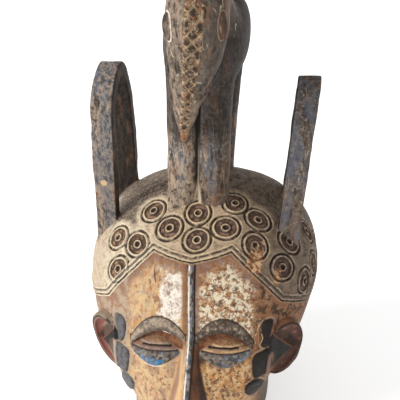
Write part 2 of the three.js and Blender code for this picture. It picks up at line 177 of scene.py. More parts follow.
def smooth(value, low, high):
    t = np.clip((value - low) / (high - low), 0, 1)
    return t * t * (3 - 2 * t)


def mix(a, b, t):
    return a + (b - a) * t


def arch(t):
    return np.maximum(np.sin(np.pi * np.clip(t, 0, 1)), 0)


class Spots:
    """Points in millimetres, in rows of equal length."""

    def __init__(self, x, y, z):
        self.x, self.y, self.z = x, y, z

    def rows(self, keep):
        return Spots(self.x[keep], self.y[keep], self.z[keep])

    def offset(self, point):
        return self.x - point[0], self.y - point[1], self.z - point[2]

    def within(self, low, high):
        inside = np.ones(len(self.x), bool)
        for axis, first, last in zip((self.x, self.y, self.z), low, high):
            inside &= (axis.max(1) > first) & (axis.min(1) < last)
        return inside


def along(offset, way):
    """How far the offsets reach in a direction."""
    return sum(o * w for o, w in zip(offset, way))


def direction(azimuth, elevation):
    """The way out at two angles in degrees, the first 0 to the front."""
    a, e = math.radians(azimuth), math.radians(elevation)
    return np.array([math.sin(a) * math.cos(e), -math.cos(a) * math.cos(e), math.sin(e)])


def lumps(s, size, seed):
    """Smooth random values from -1 to 1 that change over about the given size."""
    table = np.random.default_rng(seed).uniform(-1, 1, 3 * (LATTICE,)).astype(np.float32)
    cells, parts = [], []
    for axis in (s.x, s.y, s.z):
        place = axis / size + 1000.37
        cell = np.floor(place).astype(np.int32)
        part = place - cell
        cells.append((cell % LATTICE, (cell + 1) % LATTICE))
        parts.append(part * part * (3 - 2 * part))
    total = 0
    for corner in range(8):
        i, j, k = corner & 1, corner >> 1 & 1, corner >> 2
        weight = 1
        for part, far in zip(parts, (i, j, k)):
            weight = weight * (part if far else 1 - part)
        total = total + weight * table[cells[0][i], cells[1][j], cells[2][k]]
    return total


def super_form(offsets, halves, power):
    """Distance to a rounded box: an ellipse or ellipsoid at power 2, squarer above it."""
    shares = [np.abs(o / h) ** power for o, h in zip(offsets, halves)]
    total = sum(shares) + TINY
    level = total ** (1 / power)
    slopes = (share / total * level / np.maximum(np.abs(o), 1e-3) for share, o in zip(shares, offsets))
    return (level - 1) / np.sqrt(sum(slope**2 for slope in slopes) + TINY)


def blend(a, b, soft):
    """The two forms joined with a fillet of about the given radius."""
    h = np.maximum(soft - np.abs(a - b), 0) / soft
    return np.minimum(a, b) - h * h * soft / 4


def cut(a, b, soft=0.8):
    """The first form without the second."""
    return -blend(-a, b, soft)


# The helmet's form
def dome_share(z):
    rise = np.clip((z - DOME_Z) / (CROWN_Z - DOME_Z), 0, 1)
    return (1 - rise**DOME_POWER) ** (1 / DOME_POWER)


def front_reach(z):
    below = np.clip((CHEEK_Z - z) / CHEEK_Z, 0, 1)
    above = np.clip((z - CHEEK_Z) / (DOME_Z - CHEEK_Z), 0, 1)
    return FACE_REACH - (FACE_REACH - RIM_REACH) * below**2 - (FACE_REACH - BROW_REACH) * above**2


def smooth_reach(z):
    """The face's reach with a smooth curve over the forehead, not a crease at the dome's foot."""
    low, high = FOREHEAD.low, FOREHEAD.high

    def profile(height):
        return front_reach(height) * dome_share(height)

    def slope(height):
        return (profile(height + 0.5) - profile(height - 0.5)) * (high - low)

    t = np.clip((z - low) / (high - low), 0, 1)
    ends = (2 * t**3 - 3 * t**2 + 1) * profile(low) + (3 * t**2 - 2 * t**3) * profile(high)
    leans = (t**3 - 2 * t**2 + t) * slope(low) + (t**3 - t**2) * slope(high)
    curve = (ends + leans) / np.maximum(dome_share(z), 0.1)
    return np.where((z > low) & (z < high), curve, front_reach(z))


HEIGHTS = np.arange(0, CROWN_Z + 1)
REACHES = smooth_reach(HEIGHTS)


def section(z):
    front = np.interp(z, HEIGHTS, REACHES)
    z = np.clip(z, 0, DOME_Z)
    half = mix(JAW_HALF_WIDTH, HALF_WIDTH, smooth(z, JAW_Z, DOME_Z))
    back = mix(RIM_BACK_REACH, BACK_REACH, smooth(z, 0, NAPE_Z))
    power = mix(FRONT_POWER.jaw, FRONT_POWER.brow, smooth(z, FRONT_POWER.jaw_z, FRONT_POWER.brow_z))
    return half, front, back, power


def sway(z):
    return -LEAN * np.maximum(0, SWAY_Z - z)


def helmet(s, inset=0, crown_inset=0):
    """How far out a point is, 1 on the surface, and the signed distance to the surface."""
    half, front, back, power = section(s.z)
    dx = np.abs(s.x - sway(s.z))
    dy = s.y - AXIS_Y
    power = np.where(dy < 0, power, BACK_POWER)
    span = np.where(dy < 0, front, back) - inset
    share_x = (dx / (half - inset)) ** power
    share_y = (np.abs(dy) / span) ** power
    total = share_x + share_y + TINY
    level = total ** (1 / power)
    height = np.maximum(s.z - DOME_Z, 0)
    share_rise = (height / (CROWN_Z - crown_inset - DOME_Z)) ** DOME_POWER
    share_level = level**DOME_POWER
    whole = share_level + share_rise + TINY
    reach = whole ** (1 / DOME_POWER)
    outwards = share_level / whole * reach / np.maximum(level, 1e-3)
    slope_x = share_x / total * level / np.maximum(dx, 1e-2)
    slope_y = share_y / total * level / np.maximum(np.abs(dy), 1e-2)
    slope_z = share_rise / whole * reach / np.maximum(height, 1e-2)
    slope = np.sqrt(outwards**2 * (slope_x**2 + slope_y**2) + slope_z**2 + TINY)
    return reach, (reach - 1) / slope


def one(point):
    x, y, z = np.asarray(point, float).reshape(3, 1, 1)
    return Spots(x, y, z)


def outward(point, step=0.5):
    tips = [helmet(one(point + step * axis))[0] - helmet(one(point - step * axis))[0] for axis in np.eye(3)]
    normal = np.array(tips).ravel()
    return normal / np.linalg.norm(normal)


def on_dome(azimuth, elevation):
    """The dome's point in a direction from its centre, in degrees."""
    p = np.array([0, AXIS_Y, DOME_Z]) + 100 * direction(azimuth, elevation)
    centre = np.array([sway(p[2]), AXIS_Y, min(p[2], DOME_Z)])
    return centre + (p - centre) / helmet(one(p))[0].item()


def motifs():
    """Each circle's centre, outward direction, and the two directions across it."""
    found = []
    for elevation, around in MOTIF_ROWS.items():
        for azimuth in around:
            centre = on_dome(azimuth, elevation)
            up = outward(centre)
            side = np.cross((0, 0, 1), up)
            side /= np.linalg.norm(side)
            found.append((centre, side, np.cross(up, side)))
    return found


MOTIFS = motifs()


# The band: rings, moulding and the line at its end
def ring_distance(s):
    """Distance from the middle of the nearest circle."""
    nearest = np.full_like(s.x, FAR)
    for number, (centre, side, over) in enumerate(MOTIFS):
        keep = s.within(centre - RING.reach - 2, centre + RING.reach + 2)
        if not keep.any():
            continue
        offset = s.rows(keep).offset(centre)
        across, up = along(offset, side), along(offset, over)
        wobble = 1 + RING.uneven * np.cos(2 * np.arctan2(up, across) + RING.turn * number)
        radius = np.hypot(across, up) * wobble
        radius = np.where(along(offset, offset) < RING.reach**2, radius, FAR)
        nearest[keep] = np.minimum(nearest[keep], radius)
    return nearest


RING_PROFILE = np.array([
    (0, -2.8), (2.1, -2.6), (3.1, 0.1), (4.4, 0.1), (5.3, -1.7), (9.9, -1.7),
    (10.9, 0.3), (12.3, 0.3), (13.1, -2.2), (14.9, -2.2), (15.7, 0.4), (16.4, 0.4), (17.3, 0),
])


def dome_angles(s):
    dy, dz = s.y - AXIS_Y, s.z - DOME_Z
    flat = np.hypot(s.x, dy)
    return np.degrees(np.arctan2(s.x, -dy)), np.degrees(np.arctan2(dz, flat)), np.hypot(flat, dz)


def hairline_distance(s):
    """Signed distance along the surface from the hairline's middle, positive on the band's side."""
    azimuth, elevation, radius = dome_angles(s)
    around = np.abs(azimuth)
    narrow = np.cos(np.radians(elevation))
    nearest = np.full_like(around, 180)
    for start, end in zip(HAIRLINE[:-1], HAIRLINE[1:]):
        across, up = (around - start[0]) * narrow, elevation - start[1]
        run, rise = (end[0] - start[0]) * narrow, end[1] - start[1]
        t = np.clip((across * run + up * rise) / (run**2 + rise**2), 0, 1)
        nearest = np.minimum(nearest, np.hypot(across - t * run, up - t * rise))
    above = elevation > np.interp(around, HAIRLINE[:, 0], HAIRLINE[:, 1])
    return np.where(above, nearest, -nearest) * np.radians(1) * radius


HAIR_PROFILE = np.array([
    (-6.2, 0), (-5.2, 1.3), (-4.4, 1.3), (-3.7, 0.1), (-2.5, 0.1), (-1.8, 1.8),
    (-0.9, 1.8), (-0.2, 0.7), (2.4, 0.7), (3.1, 1.8), (3.9, 1.8), (5, 0),
])


def segment_distance(s, start, end):
    start, end = np.array(start, float), np.array(end, float)
    offset, way = s.offset(start), end - start
    t = np.clip(along(offset, way) / (way @ way), 0, 1)
    return np.sqrt(sum((o - t * w) ** 2 for o, w in zip(offset, way)))


def band_relief(s):
    rings = ring_distance(s)
    hair = hairline_distance(s)
    azimuth = np.abs(dome_angles(s)[0])
    on_band = smooth(hair, 1, 4)
    height = np.interp(rings, RING_PROFILE[:, 0], RING_PROFILE[:, 1]) * on_band
    moulding = np.interp(hair, HAIR_PROFILE[:, 0], HAIR_PROFILE[:, 1])
    height = np.where(np.abs(hair) < 5, moulding, height) * smooth(-azimuth, -106, -102)
    end_line = segment_distance(s, HAIR_END.start, HAIR_END.end)
    return height - HAIR_END.depth * (1 - smooth(end_line, 0.5, 1.6))


# The face: places across it are from its own middle line
def brow_place(u, z):
    """Place along a brow from 0 to 1, and across it from -1 at its lower edge to 1 at its upper."""
    t = (u - BROW.inner) / (BROW.outer - BROW.inner)
    inside = np.clip(t, 0.001, 0.999)
    middle = mix(BROW.foot + BROW.slant, BROW.foot, inside) + BROW.rise * arch(inside) ** 0.8
    climb = -BROW.slant + BROW.rise * 0.8 * np.pi * np.cos(np.pi * inside) * arch(inside) ** -0.2
    lean = climb / (BROW.outer - BROW.inner)
    half = mix(BROW.end, BROW.width, arch(inside)) / 2
    return t, (z - middle) / np.sqrt(1 + lean**2) / half


def lid_place(u, z):
    """Place along an eye from 0 to 1, height over its middle, and its half height there."""
    t = (u - EYE.inner) / (EYE.outer - EYE.inner)
    middle = mix(EYE.z + EYE.slant, EYE.z, np.clip(t, 0, 1))
    return t, z - middle, (3 + EYE.height * arch(t)) / 2


def pad_distance(u, z):
    """Signed distance to the nearest of the three pads beside the eye, negative on it."""
    nearest = np.full_like(u, FAR)
    for x, middle, half, tall, tilt, power in PADS:
        turn = math.radians(tilt)
        dx, dz = u - x, z - middle
        across = dx * math.cos(turn) + dz * math.sin(turn)
        up = -dx * math.sin(turn) + dz * math.cos(turn)
        nearest = np.minimum(nearest, super_form((across, up), (half, tall), power))
    return nearest


def mound(u, z, x, middle, half, tall):
    """1 in the middle of an oval and 0 at its edge."""
    return np.sqrt(np.maximum(0, 1 - ((u - x) / half) ** 2 - ((z - middle) / tall) ** 2))


def eye_relief(u, z):
    t, w, half = lid_place(u, z)
    v = (w + 1) / half
    lids = (0.5 + EYE.bulge * arch(t)) * np.maximum(0, 1 - v**2) ** 0.8
    slit, crease = lid_line(t, w, SLIT)[0], lid_line(t, w, CREASE)[0]
    cuts = SLIT.depth * (1 - smooth(slit, 0.3, 1.3)) + CREASE.depth * (1 - smooth(crease, 0.3, 1.3))
    return lids * (t > 0) * (t < 1) - cuts


def lid_line(t, w, line):
    """Distance to one of the two lines across an eye, and height over it."""
    over = w - mix(line.ends, line.middle, arch(t))
    past = np.maximum(np.maximum(line.start - t, t - line.end), 0) * (EYE.outer - EYE.inner)
    return np.hypot(over, past), over


BROW_PROFILE = np.array([
    (-1.5, 0), (-1.05, 0.1), (-0.8, 1), (-0.2, 1.05), (0.5, 0.8), (0.95, 0.5), (1.1, -0.2), (1.3, 0),
])


def brow_relief(u, z):
    t, across = brow_place(u, z)
    bulge = mix(BROW.end / 2, BROW.bulge, arch(t))
    ends = smooth(t, -0.02, 0.03) * smooth(-t, -1.02, -0.97)
    return bulge * np.interp(across, BROW_PROFILE[:, 0], BROW_PROFILE[:, 1]) * ends


def socket_relief(u, z):
    """The hollow between the brow and the upper lid."""
    t, across = brow_place(u, z)
    _, w, half = lid_place(u, z)
    under = smooth(-across, 0.7, 1.2) * smooth(w / half, 0.6, 1.0)
    return -SOCKET_DEPTH * under * arch(t) ** 0.5 * (t > 0) * (t < 1)


def nose_relief(u, z):
    t = np.clip((NASION_Z + 3 - z) / (NASION_Z + 3 - NOSE_TIP_Z), 0, 1)
    half = mix(NOSE.root, NOSE.width, t) / 2
    height = mix(NOSE.root_height, NOSE.height, t**0.9)
    shape = np.maximum(0, 1 - np.abs(u) / half)
    flank = height * shape * smooth(z, NOSE_TIP_Z - 5, NOSE_TIP_Z + 1) * (z < NASION_Z + 3)
    middle = NOSE_TIP_Z + NOSTRIL.half - 2
    wing = 0
    for side in (-1, 1):
        swell = mound(u, z, side * NOSTRIL.x, middle, NOSTRIL.half, NOSTRIL.half)
        wing = np.maximum(wing, NOSTRIL.height * swell)
    raised = 1 - smooth(np.abs(u), 2.8, 3.8)
    edge = 1 - smooth(np.abs(np.abs(u) - NOSE_STRIP.groove), 0.4, 1.4)
    on_nose = smooth(z, NOSE_TIP_Z, NOSE_TIP_Z + 4)
    strip = (NOSE_STRIP.height * raised - NOSE_STRIP.depth * edge) * on_nose * (z < NASION_Z)
    return np.maximum(flank, wing) + strip


def side_line(z):
    """How far out the line before the ear is."""
    (top_x, top_z), (foot_x, foot_z) = SIDE_LINE.top, SIDE_LINE.foot
    return np.interp(z, (foot_z, top_z), (foot_x, top_x))


def face_relief(s):
    u = s.x - sway(s.z)
    side = np.abs(u)
    z = s.z
    ridge = 1 - smooth(side, RIDGE.half - 0.8, RIDGE.half + 0.4)
    edge = 1 - smooth(np.abs(side - RIDGE.groove), 0.3, 1.1)
    forehead = (z < RIDGE.top + 2) & (z > NASION_Z)
    height = (RIDGE.height * ridge - RIDGE.depth * edge) * forehead
    height = height + nose_relief(u, z)
    height = height + brow_relief(side, z) + eye_relief(side, z) + socket_relief(side, z)
    pads = pad_distance(side, z)
    height = height + PAD_BULGE * smooth(-pads, -0.3, 1.2)
    height = height + PAD_OUTLINE * (1 - smooth(np.abs(pads - 1.6), 0.3, 1.2))
    top, foot = SIDE_LINE.top[1], SIDE_LINE.foot[1]
    within = smooth(z, foot, foot + 4) * smooth(-z, -top, -top + 4)
    line = 1 - smooth(np.abs(side - side_line(z)), 0.8, SIDE_LINE.width)
    height = height + SIDE_LINE.height * line * within
    lips = MOUTH.lips * mound(u, z, 0, MOUTH.z, MOUTH.half, MOUTH.tall)
    gap = 1 - smooth(np.abs(z - MOUTH.z), MOUTH.gap / 2 - 0.8, MOUTH.gap / 2 + 0.8)
    gap = gap * smooth(-side, -MOUTH.half * 0.8, -MOUTH.half * 0.7)
    height = height + lips - MOUTH.gap_depth * gap
    return height + CHIN.height * mound(u, z, 0, CHIN.z, CHIN.half, CHIN.tall)


def carved_helmet(s):
    """The helmet's outside with its carving."""
    d = helmet(s)[1]
    near = np.abs(d).min(1) < NEAR
    band = near & s.within(*BAND_BOX)
    if band.any():
        d[band] -= band_relief(s.rows(band))
    face = near & s.within(*FACE_BOX)
    if face.any():
        spots = s.rows(face)
        below = smooth(-hairline_distance(spots), 3.5, 6)
        d[face] -= face_relief(spots) * np.where(spots.z > 150, below, 1)
    return d


# The crest: legs, body, neck and head, tail
def leaning(x, z):
    return x + LEAN * (z - CROWN_Z)


def path_point(points, t):
    """A point on the smooth path through the points, t from 0 to 1."""
    points = np.vstack([2 * points[0] - points[1], points, 2 * points[-1] - points[-2]])
    place = min(t, 1 - 1e-9) * (len(points) - 3)
    start = int(place)
    p = points[start:start + 4]
    gaps = np.linalg.norm(np.diff(p, axis=0), axis=1) ** 0.5

    def slope(i):
        before, after = (p[i] - p[i - 1]) / gaps[i - 1], (p[i + 1] - p[i]) / gaps[i]
        return gaps[1] * (before - (p[i + 1] - p[i - 1]) / (gaps[i - 1] + gaps[i]) + after)

    w = place - start
    first, last = slope(1), slope(2)
    cubic = 2 * p[1] - 2 * p[2] + first + last
    square = -3 * p[1] + 3 * p[2] - 2 * first - last
    return p[1] + first * w + square * w**2 + cubic * w**3


def crest_stations(line, count):
    """Points along a leaning path, with the direction ahead and the direction across its depth."""
    places = np.linspace(0, 1, count)
    points = np.array([path_point(line, t) for t in places])
    points[:, 0] = leaning(points[:, 0], points[:, 2])
    ahead = np.gradient(points, axis=0)
    ahead /= np.linalg.norm(ahead, axis=1)[:, None]
    depth = np.cross((1, 0, 0), ahead)
    depth /= np.linalg.norm(depth, axis=1)[:, None]
    return places, points, ahead, depth


def crest_size(t, column):
    i = int(np.clip(np.searchsorted(CREST_SIZES[:, 0], t), 1, len(CREST_SIZES) - 1))
    low, high = CREST_SIZES[i - 1], CREST_SIZES[i]
    return mix(low[column], high[column], smooth(t, low[0], high[0]))


PLACES, POINTS, AHEAD, DEPTH = crest_stations(CREST_LINE, CREST_STATIONS)
WIDTHS = np.array([(crest_size(t, 1), crest_size(t, 2)) for t in PLACES])
LENGTHS = np.concatenate([[0], np.cumsum(np.linalg.norm(np.diff(POINTS, axis=0), axis=1))])


def head_place(s):
    """Length along the neck and head, the distance across its middle, and how far to its front."""
    best = np.full_like(s.x, 1e9)
    length, across, front = (np.zeros_like(s.x) for _ in range(3))
    for point, ahead, depth, far in zip(POINTS, AHEAD, DEPTH, LENGTHS):
        offset = s.offset(point)
        forward, out = along(offset, ahead), -along(offset, depth)
        apart = np.abs(forward) + np.where(out < 0, FAR_OFF, 0)
        nearer = apart < best
        best = np.where(nearer, apart, best)
        length = np.where(nearer, far + forward, length)
        across = np.where(nearer, offset[0], across)
        front = np.where(nearer, out, front)
    return length, across, front


def snout_relief(s):
    """The raised middle of the head, cut with rows of crossed strokes."""
    length, across, front = head_place(s)
    start, end = SNOUT.start * LENGTHS[-1], SNOUT.end * LENGTHS[-1]
    raised = smooth(-snout_edge(length, across), -0.8, 0.6)
    ends = smooth(length, start - 3, start + 3) * smooth(-length, -end - 2, -end + 2)
    strokes = SNOUT.stroke * crossed_strokes(length, across)
    return (SNOUT.height * raised - strokes * raised) * ends * (front > 0)


def snout_edge(length, across):
    """Distance across to the zigzag edge of the head's raised middle, negative on it."""
    t = length / LENGTHS[-1]
    half = mix(SNOUT.half, SNOUT.half * 0.5, smooth(t, 0.4, 0.82))
    return np.abs(across) - half * (1 + 0.3 * np.abs(np.mod(length / SNOUT.pitch * 2, 2) - 1))


def crossed_strokes(length, across):
    """1 on the strokes that cross over the head's middle, 0 between them."""
    strokes = 0
    for turn in (-1, 1):
        place = np.mod((length + turn * across * 1.05) / SNOUT.pitch, 1)
        strokes = np.maximum(strokes, 1 - smooth(np.abs(place - 0.5) * SNOUT.pitch, 0.5, 1.5))
    return strokes


def neck_and_head(s):
    """A row of flat rounded slices along the neck and head, flatter under the head."""
    d = np.full_like(s.x, FAR_OFF)
    rear = mix(1, HEAD.under, smooth(PLACES, HEAD.start, HEAD.end))
    for point, ahead, depth, (wide, deep), under in zip(POINTS, AHEAD, DEPTH, WIDTHS, rear):
        reach = max(wide, deep) + 12
        keep = s.within(point - reach, point + reach)
        if keep.any():
            offset = s.rows(keep).offset(point)
            back = along(offset, depth)
            parts = (offset[0], np.where(back > 0, back / under, back), along(offset, ahead))
            halves = (wide, deep, HEAD.slice * min(wide, deep))
            d[keep] = np.minimum(d[keep], super_form(parts, halves, HEAD.power))
    near = np.abs(d).min(1) < 12
    if near.any():
        d[near] -= snout_relief(s.rows(near))
    return d


def eye_place(s, side):
    """Offsets from the middle of the animal's eye."""
    middle = np.array([np.interp(ANIMAL_EYE.t, PLACES, POINTS[:, axis]) for axis in range(3)])
    width = np.interp(ANIMAL_EYE.t, PLACES, WIDTHS[:, 0])
    x, y, z = s.offset(middle)
    return x - side * width * ANIMAL_EYE.out, y + width * ANIMAL_EYE.forward, z


def animal_eye(s, side):
    return super_form(eye_place(s, side), ANIMAL_EYE.half, 2)


def tail(s):
    d = np.full_like(s.x, FAR_OFF)
    for point in crest_stations(TAIL_LINE, TAIL_STATIONS)[1]:
        offset = s.offset(point)
        d = np.minimum(d, np.sqrt(along(offset, offset)) - TAIL_HALF)
    return d


def body(s):
    x = s.x - BODY.x - LEAN * (s.z - CROWN_Z)
    halves = (BODY.half, BODY.length, BODY.rise)
    return super_form((x, s.y - BODY.y, s.z - BODY.z), halves, 2 / BODY.fullness)


def leg_pair(s, pair):
    t = np.clip((s.z - LEG_FOOT) / (LEG_TOP - LEG_FOOT), 0, 1)
    half = LEG_HALF_PAIR / 2 + LEG_OVERLAP + pair.haunch / 2 * t**2
    x = s.x - LEAN * (s.z - CROWN_Z)
    y = s.y - (pair.front + pair.back) / 2
    middle = LEG_HALF_PAIR - LEG_HALF_PAIR / 2 - LEG_OVERLAP + pair.haunch / 2 * t**2
    both = [super_form((x - side * middle, y), (half, (pair.back - pair.front) / 2), 2.4) for side in (-1, 1)]
    d = blend(*both, 1.2)
    return np.maximum(d, np.maximum(LEG_FOOT - s.z, s.z - LEG_TOP))


def strap_place(s, side):
    """Distance out from a loop's middle, and signed distances to its outer and inner profiles."""
    shape = LOOP_SIDES[side]
    y = s.y + shape.forward
    spring = LOOP.spring_z - shape.drop
    rise, fall = LOOP.top_z - LOOP.spring_z, LOOP.top_z - shape.drop - LOOP.foot_z
    middle = side * (LOOP.x - shape.toe_in * (y - LOOP.front))
    middle = middle + LEAN * (s.z - LOOP_TRUE_Z) + shape.splay * (s.z - shape.pivot_z)

    def profile(less, crown_less):
        u = y - LOOP.top_y
        front = (LOOP.top_y - LOOP.front - less, rise - crown_less)
        back = (LOOP.back - LOOP.top_y - less, fall - crown_less)
        before = super_form((u, np.maximum(s.z - spring, 0)), front, 2)
        behind = super_form((u, np.maximum(s.z - LOOP.foot_z, 0)), back, 2)
        return np.where(u < 0, before, behind)

    return side * (s.x - middle), profile(0, 0), profile(LOOP.thick, 1.3 * LOOP.thick)


def strap(s, side):
    """One loop: a flat strap bent into an arch that runs from front to back."""
    out, outer, inner = strap_place(s, side)
    d = cut(np.abs(out) - LOOP.width / 2, -cut(outer, inner, 1.5), 1.5)
    return np.maximum(d, LOOP.foot_z - s.z)


def loop_inside(s, side):
    """Above about -1 on a loop's faces that look to the middle or into its arch."""
    out, _, inner = strap_place(s, side)
    return np.maximum(-out - LOOP.width / 2, -inner)


def ear_place(s, side):
    """Offsets in the leaning ear, depth behind its front, and distance to its flap's two edges."""
    lean = math.radians(EAR.lean)
    dx, dz = side * s.x - EAR.x, s.z - EAR.z
    x = dx * math.cos(lean) - dz * math.sin(lean)
    z = dx * math.sin(lean) + dz * math.cos(lean)
    y = s.y - EAR.y
    corner, foot = EAR.flap / 2, -EAR.radii[0] / 2
    slope = math.atan2(corner - foot, EAR.flap)
    wedge = (x - corner) * math.cos(slope) + np.abs(z) * math.sin(slope)
    return x, y, z, y + EAR.y - EAR.front - x * EAR.turn - z * EAR.rake, wedge


def ear(s, side):
    """A half-moon ear, cupped to the front, with a three-cornered flap before its hole."""
    x, y, z, depth, wedge = ear_place(s, side)
    rim = [EAR.radii[0] - EAR.shell, EAR.dish, EAR.radii[2] - EAR.shell]
    facing_out = math.hypot(1, EAR.turn, EAR.rake)
    shell = cut(super_form((x, y, z), EAR.radii, 2), depth / facing_out, 1.2)
    shell = cut(shell, super_form((x, depth, z), rim, 2), 1)
    slab = np.maximum(-depth, depth - EAR.flap_depth) / facing_out
    flap = np.maximum(np.maximum(wedge, -EAR.radii[0] / 2 - x), slab)
    return blend(shell, flap, 0.8)


def crest(s):
    d = body(s)
    for pair in LEGS:
        d = blend(d, leg_pair(s, pair), 5)
    d = blend(d, neck_and_head(s), 1 + 5 * smooth(s.z, 460, 480))
    for side in (-1, 1):
        d = blend(d, animal_eye(s, side), 1)
    return blend(d, tail(s), 4)


def loops(s):
    return np.minimum(strap(s, -1), strap(s, 1))


def ears(s):
    return np.minimum(ear(s, -1), ear(s, 1))


# Which boxes the parts lie in, and how softly they meet the helmet
PARTS = [
    (crest, (-75, -75, 255), (75, 130, 560), 4),
    (loops, (-150, -25, 215), (150, 105, 440), 2.5),
    (ears, (-130, -100, 115), (130, -15, 205), 1.5),
]

# How uneven the carving is: the size, depth and seed of its lumps, outside and in the hollow
CARVED_LUMPS = [(24, 0.7, 3), (9, 0.25, 4)]
HOLLOW_LUMPS = Sizes(size=16, depth=0.8, seed=5)


def wood(s):
    """Signed distance to the whole carving, negative in the wood."""
    d = carved_helmet(s)
    for form, low, high, soft in PARTS:
        keep = s.within(low, high)
        if keep.any():
            d[keep] = blend(d[keep], form(s.rows(keep)), soft)
    for size, depth, seed in CARVED_LUMPS:
        d += depth * lumps(s, size, seed)
    uneven = HOLLOW_LUMPS.depth * lumps(s, HOLLOW_LUMPS.size, HOLLOW_LUMPS.seed)
    hollow = helmet(s, WALL, CROWN_WALL)[1] + uneven
    d = cut(d, hollow, 1.5)
    return cut(d, s.z, 2)


def in_threads(work, s, chunk):
    """The work done on the rows a chunk at a time, on every core."""
    pieces = [slice(i, i + chunk) for i in range(0, len(s.x), chunk)]
    with ThreadPoolExecutor() as pool:
        return np.concatenate(list(pool.map(lambda piece: work(s.rows(piece)), pieces)))


def carved_mesh():
    """The surface of the wood, found on a grid in the blocks that it passes through."""
    low = np.array(cad_box[0]) / MM - MARGIN
    high = np.array(cad_box[1]) / MM + MARGIN
    blocks = np.ceil((high - low) / (STEP * BLOCK)).astype(int)
    corner = np.stack(np.meshgrid(*[np.arange(n) for n in blocks], indexing="ij"), -1).reshape(-1, 3)
    middle = low + (corner * BLOCK + (BLOCK - 1) / 2) * STEP
    rough = in_threads(wood, Spots(*middle.astype(np.float32).T[:, :, None]), CHUNKS.rough)[:, 0]
    near = np.abs(rough) < STEP * BLOCK * 1.25 + FIELD_LIMIT
    grid = np.arange(BLOCK, dtype=np.float32)
    inner = np.stack(np.meshgrid(grid, grid, grid, indexing="ij"), -1).reshape(-1, 3)
    places = low + (corner[near][:, None, :] * BLOCK + inner) * STEP
    fine = in_threads(wood, Spots(*np.moveaxis(places.astype(np.float32), 2, 0)), CHUNKS.fine)
    field = np.repeat(np.sign(rough) * FIELD_LIMIT, BLOCK**3).reshape(-1, BLOCK**3).astype(np.float32)
    field[near] = np.clip(fine, -FIELD_LIMIT, FIELD_LIMIT)
    field = field.reshape(*blocks, BLOCK, BLOCK, BLOCK).transpose(0, 3, 1, 4, 2, 5)
    volume = openvdb.FloatGrid(float(FIELD_LIMIT))
    volume.copyFromArray(np.ascontiguousarray(field.reshape(*(blocks * BLOCK))))
    points, _, quads = volume.convertToPolygons(isovalue=0.0, adaptivity=0.0)
    return low + points * STEP, quads


def add(name, data):
    """A new object with the data, in the scene."""
    made = bpy.data.objects.new(name, data)
    bpy.context.scene.collection.objects.link(made)
    return made


def mesh_object(name, points, quads):
    mesh = bpy.data.meshes.new(name)
    mesh.vertices.add(len(points))
    mesh.vertices.foreach_set("co", (points * MM).astype(np.float32).ravel())
    mesh.loops.add(quads.size)
    mesh.loops.foreach_set("vertex_index", quads.astype(np.int32).ravel())
    mesh.polygons.add(len(quads))
    mesh.polygons.foreach_set("loop_start", np.arange(0, quads.size, 4, dtype=np.int32))
    mesh.update(calc_edges=True)
    return add(name, mesh)


def thinned(dense):
    """The same surface with fewer triangles where it is flat."""
    count = 2 * len(dense.data.polygons)
    modifier = dense.modifiers.new("fewer", "DECIMATE")
    modifier.ratio = min(1, TRIANGLES / count)
    bpy.context.view_layer.update()
    evaluated = dense.evaluated_get(bpy.context.evaluated_depsgraph_get())
    mesh = bpy.data.meshes.new_from_object(evaluated)
    dense.modifiers.remove(modifier)
    old = dense.data
    dense.data = mesh
    bpy.data.meshes.remove(old)
    mesh.shade_smooth()
    return dense


# What the paint needs to know at each vertex
def facing(mesh):
    """How much each vertex stands out, above 0 on an edge and below 0 in a groove."""
    count = len(mesh.vertices)
    places, normals = (np.empty(3 * count, np.float32) for _ in range(2))
    ends = np.empty(2 * len(mesh.edges), np.int32)
    mesh.vertices.foreach_get("co", places)
    mesh.vertex_normals.foreach_get("vector", normals)
    mesh.edges.foreach_get("vertices", ends)
    places, normals, ends = places.reshape(-1, 3), normals.reshape(-1, 3), ends.reshape(-1, 2)
    edges = np.vstack([ends, ends[:, ::-1]])
    here, there = edges.T
    way = places[there] - places[here]
    way /= np.linalg.norm(way, axis=1)[:, None] + TINY
    turned = -(way * normals[here]).sum(1)
    number = np.maximum(np.bincount(here, minlength=count), 1)
    found = np.bincount(here, turned, count) / number
    return mix(found, np.bincount(here, found[there], count) / number, 0.5)


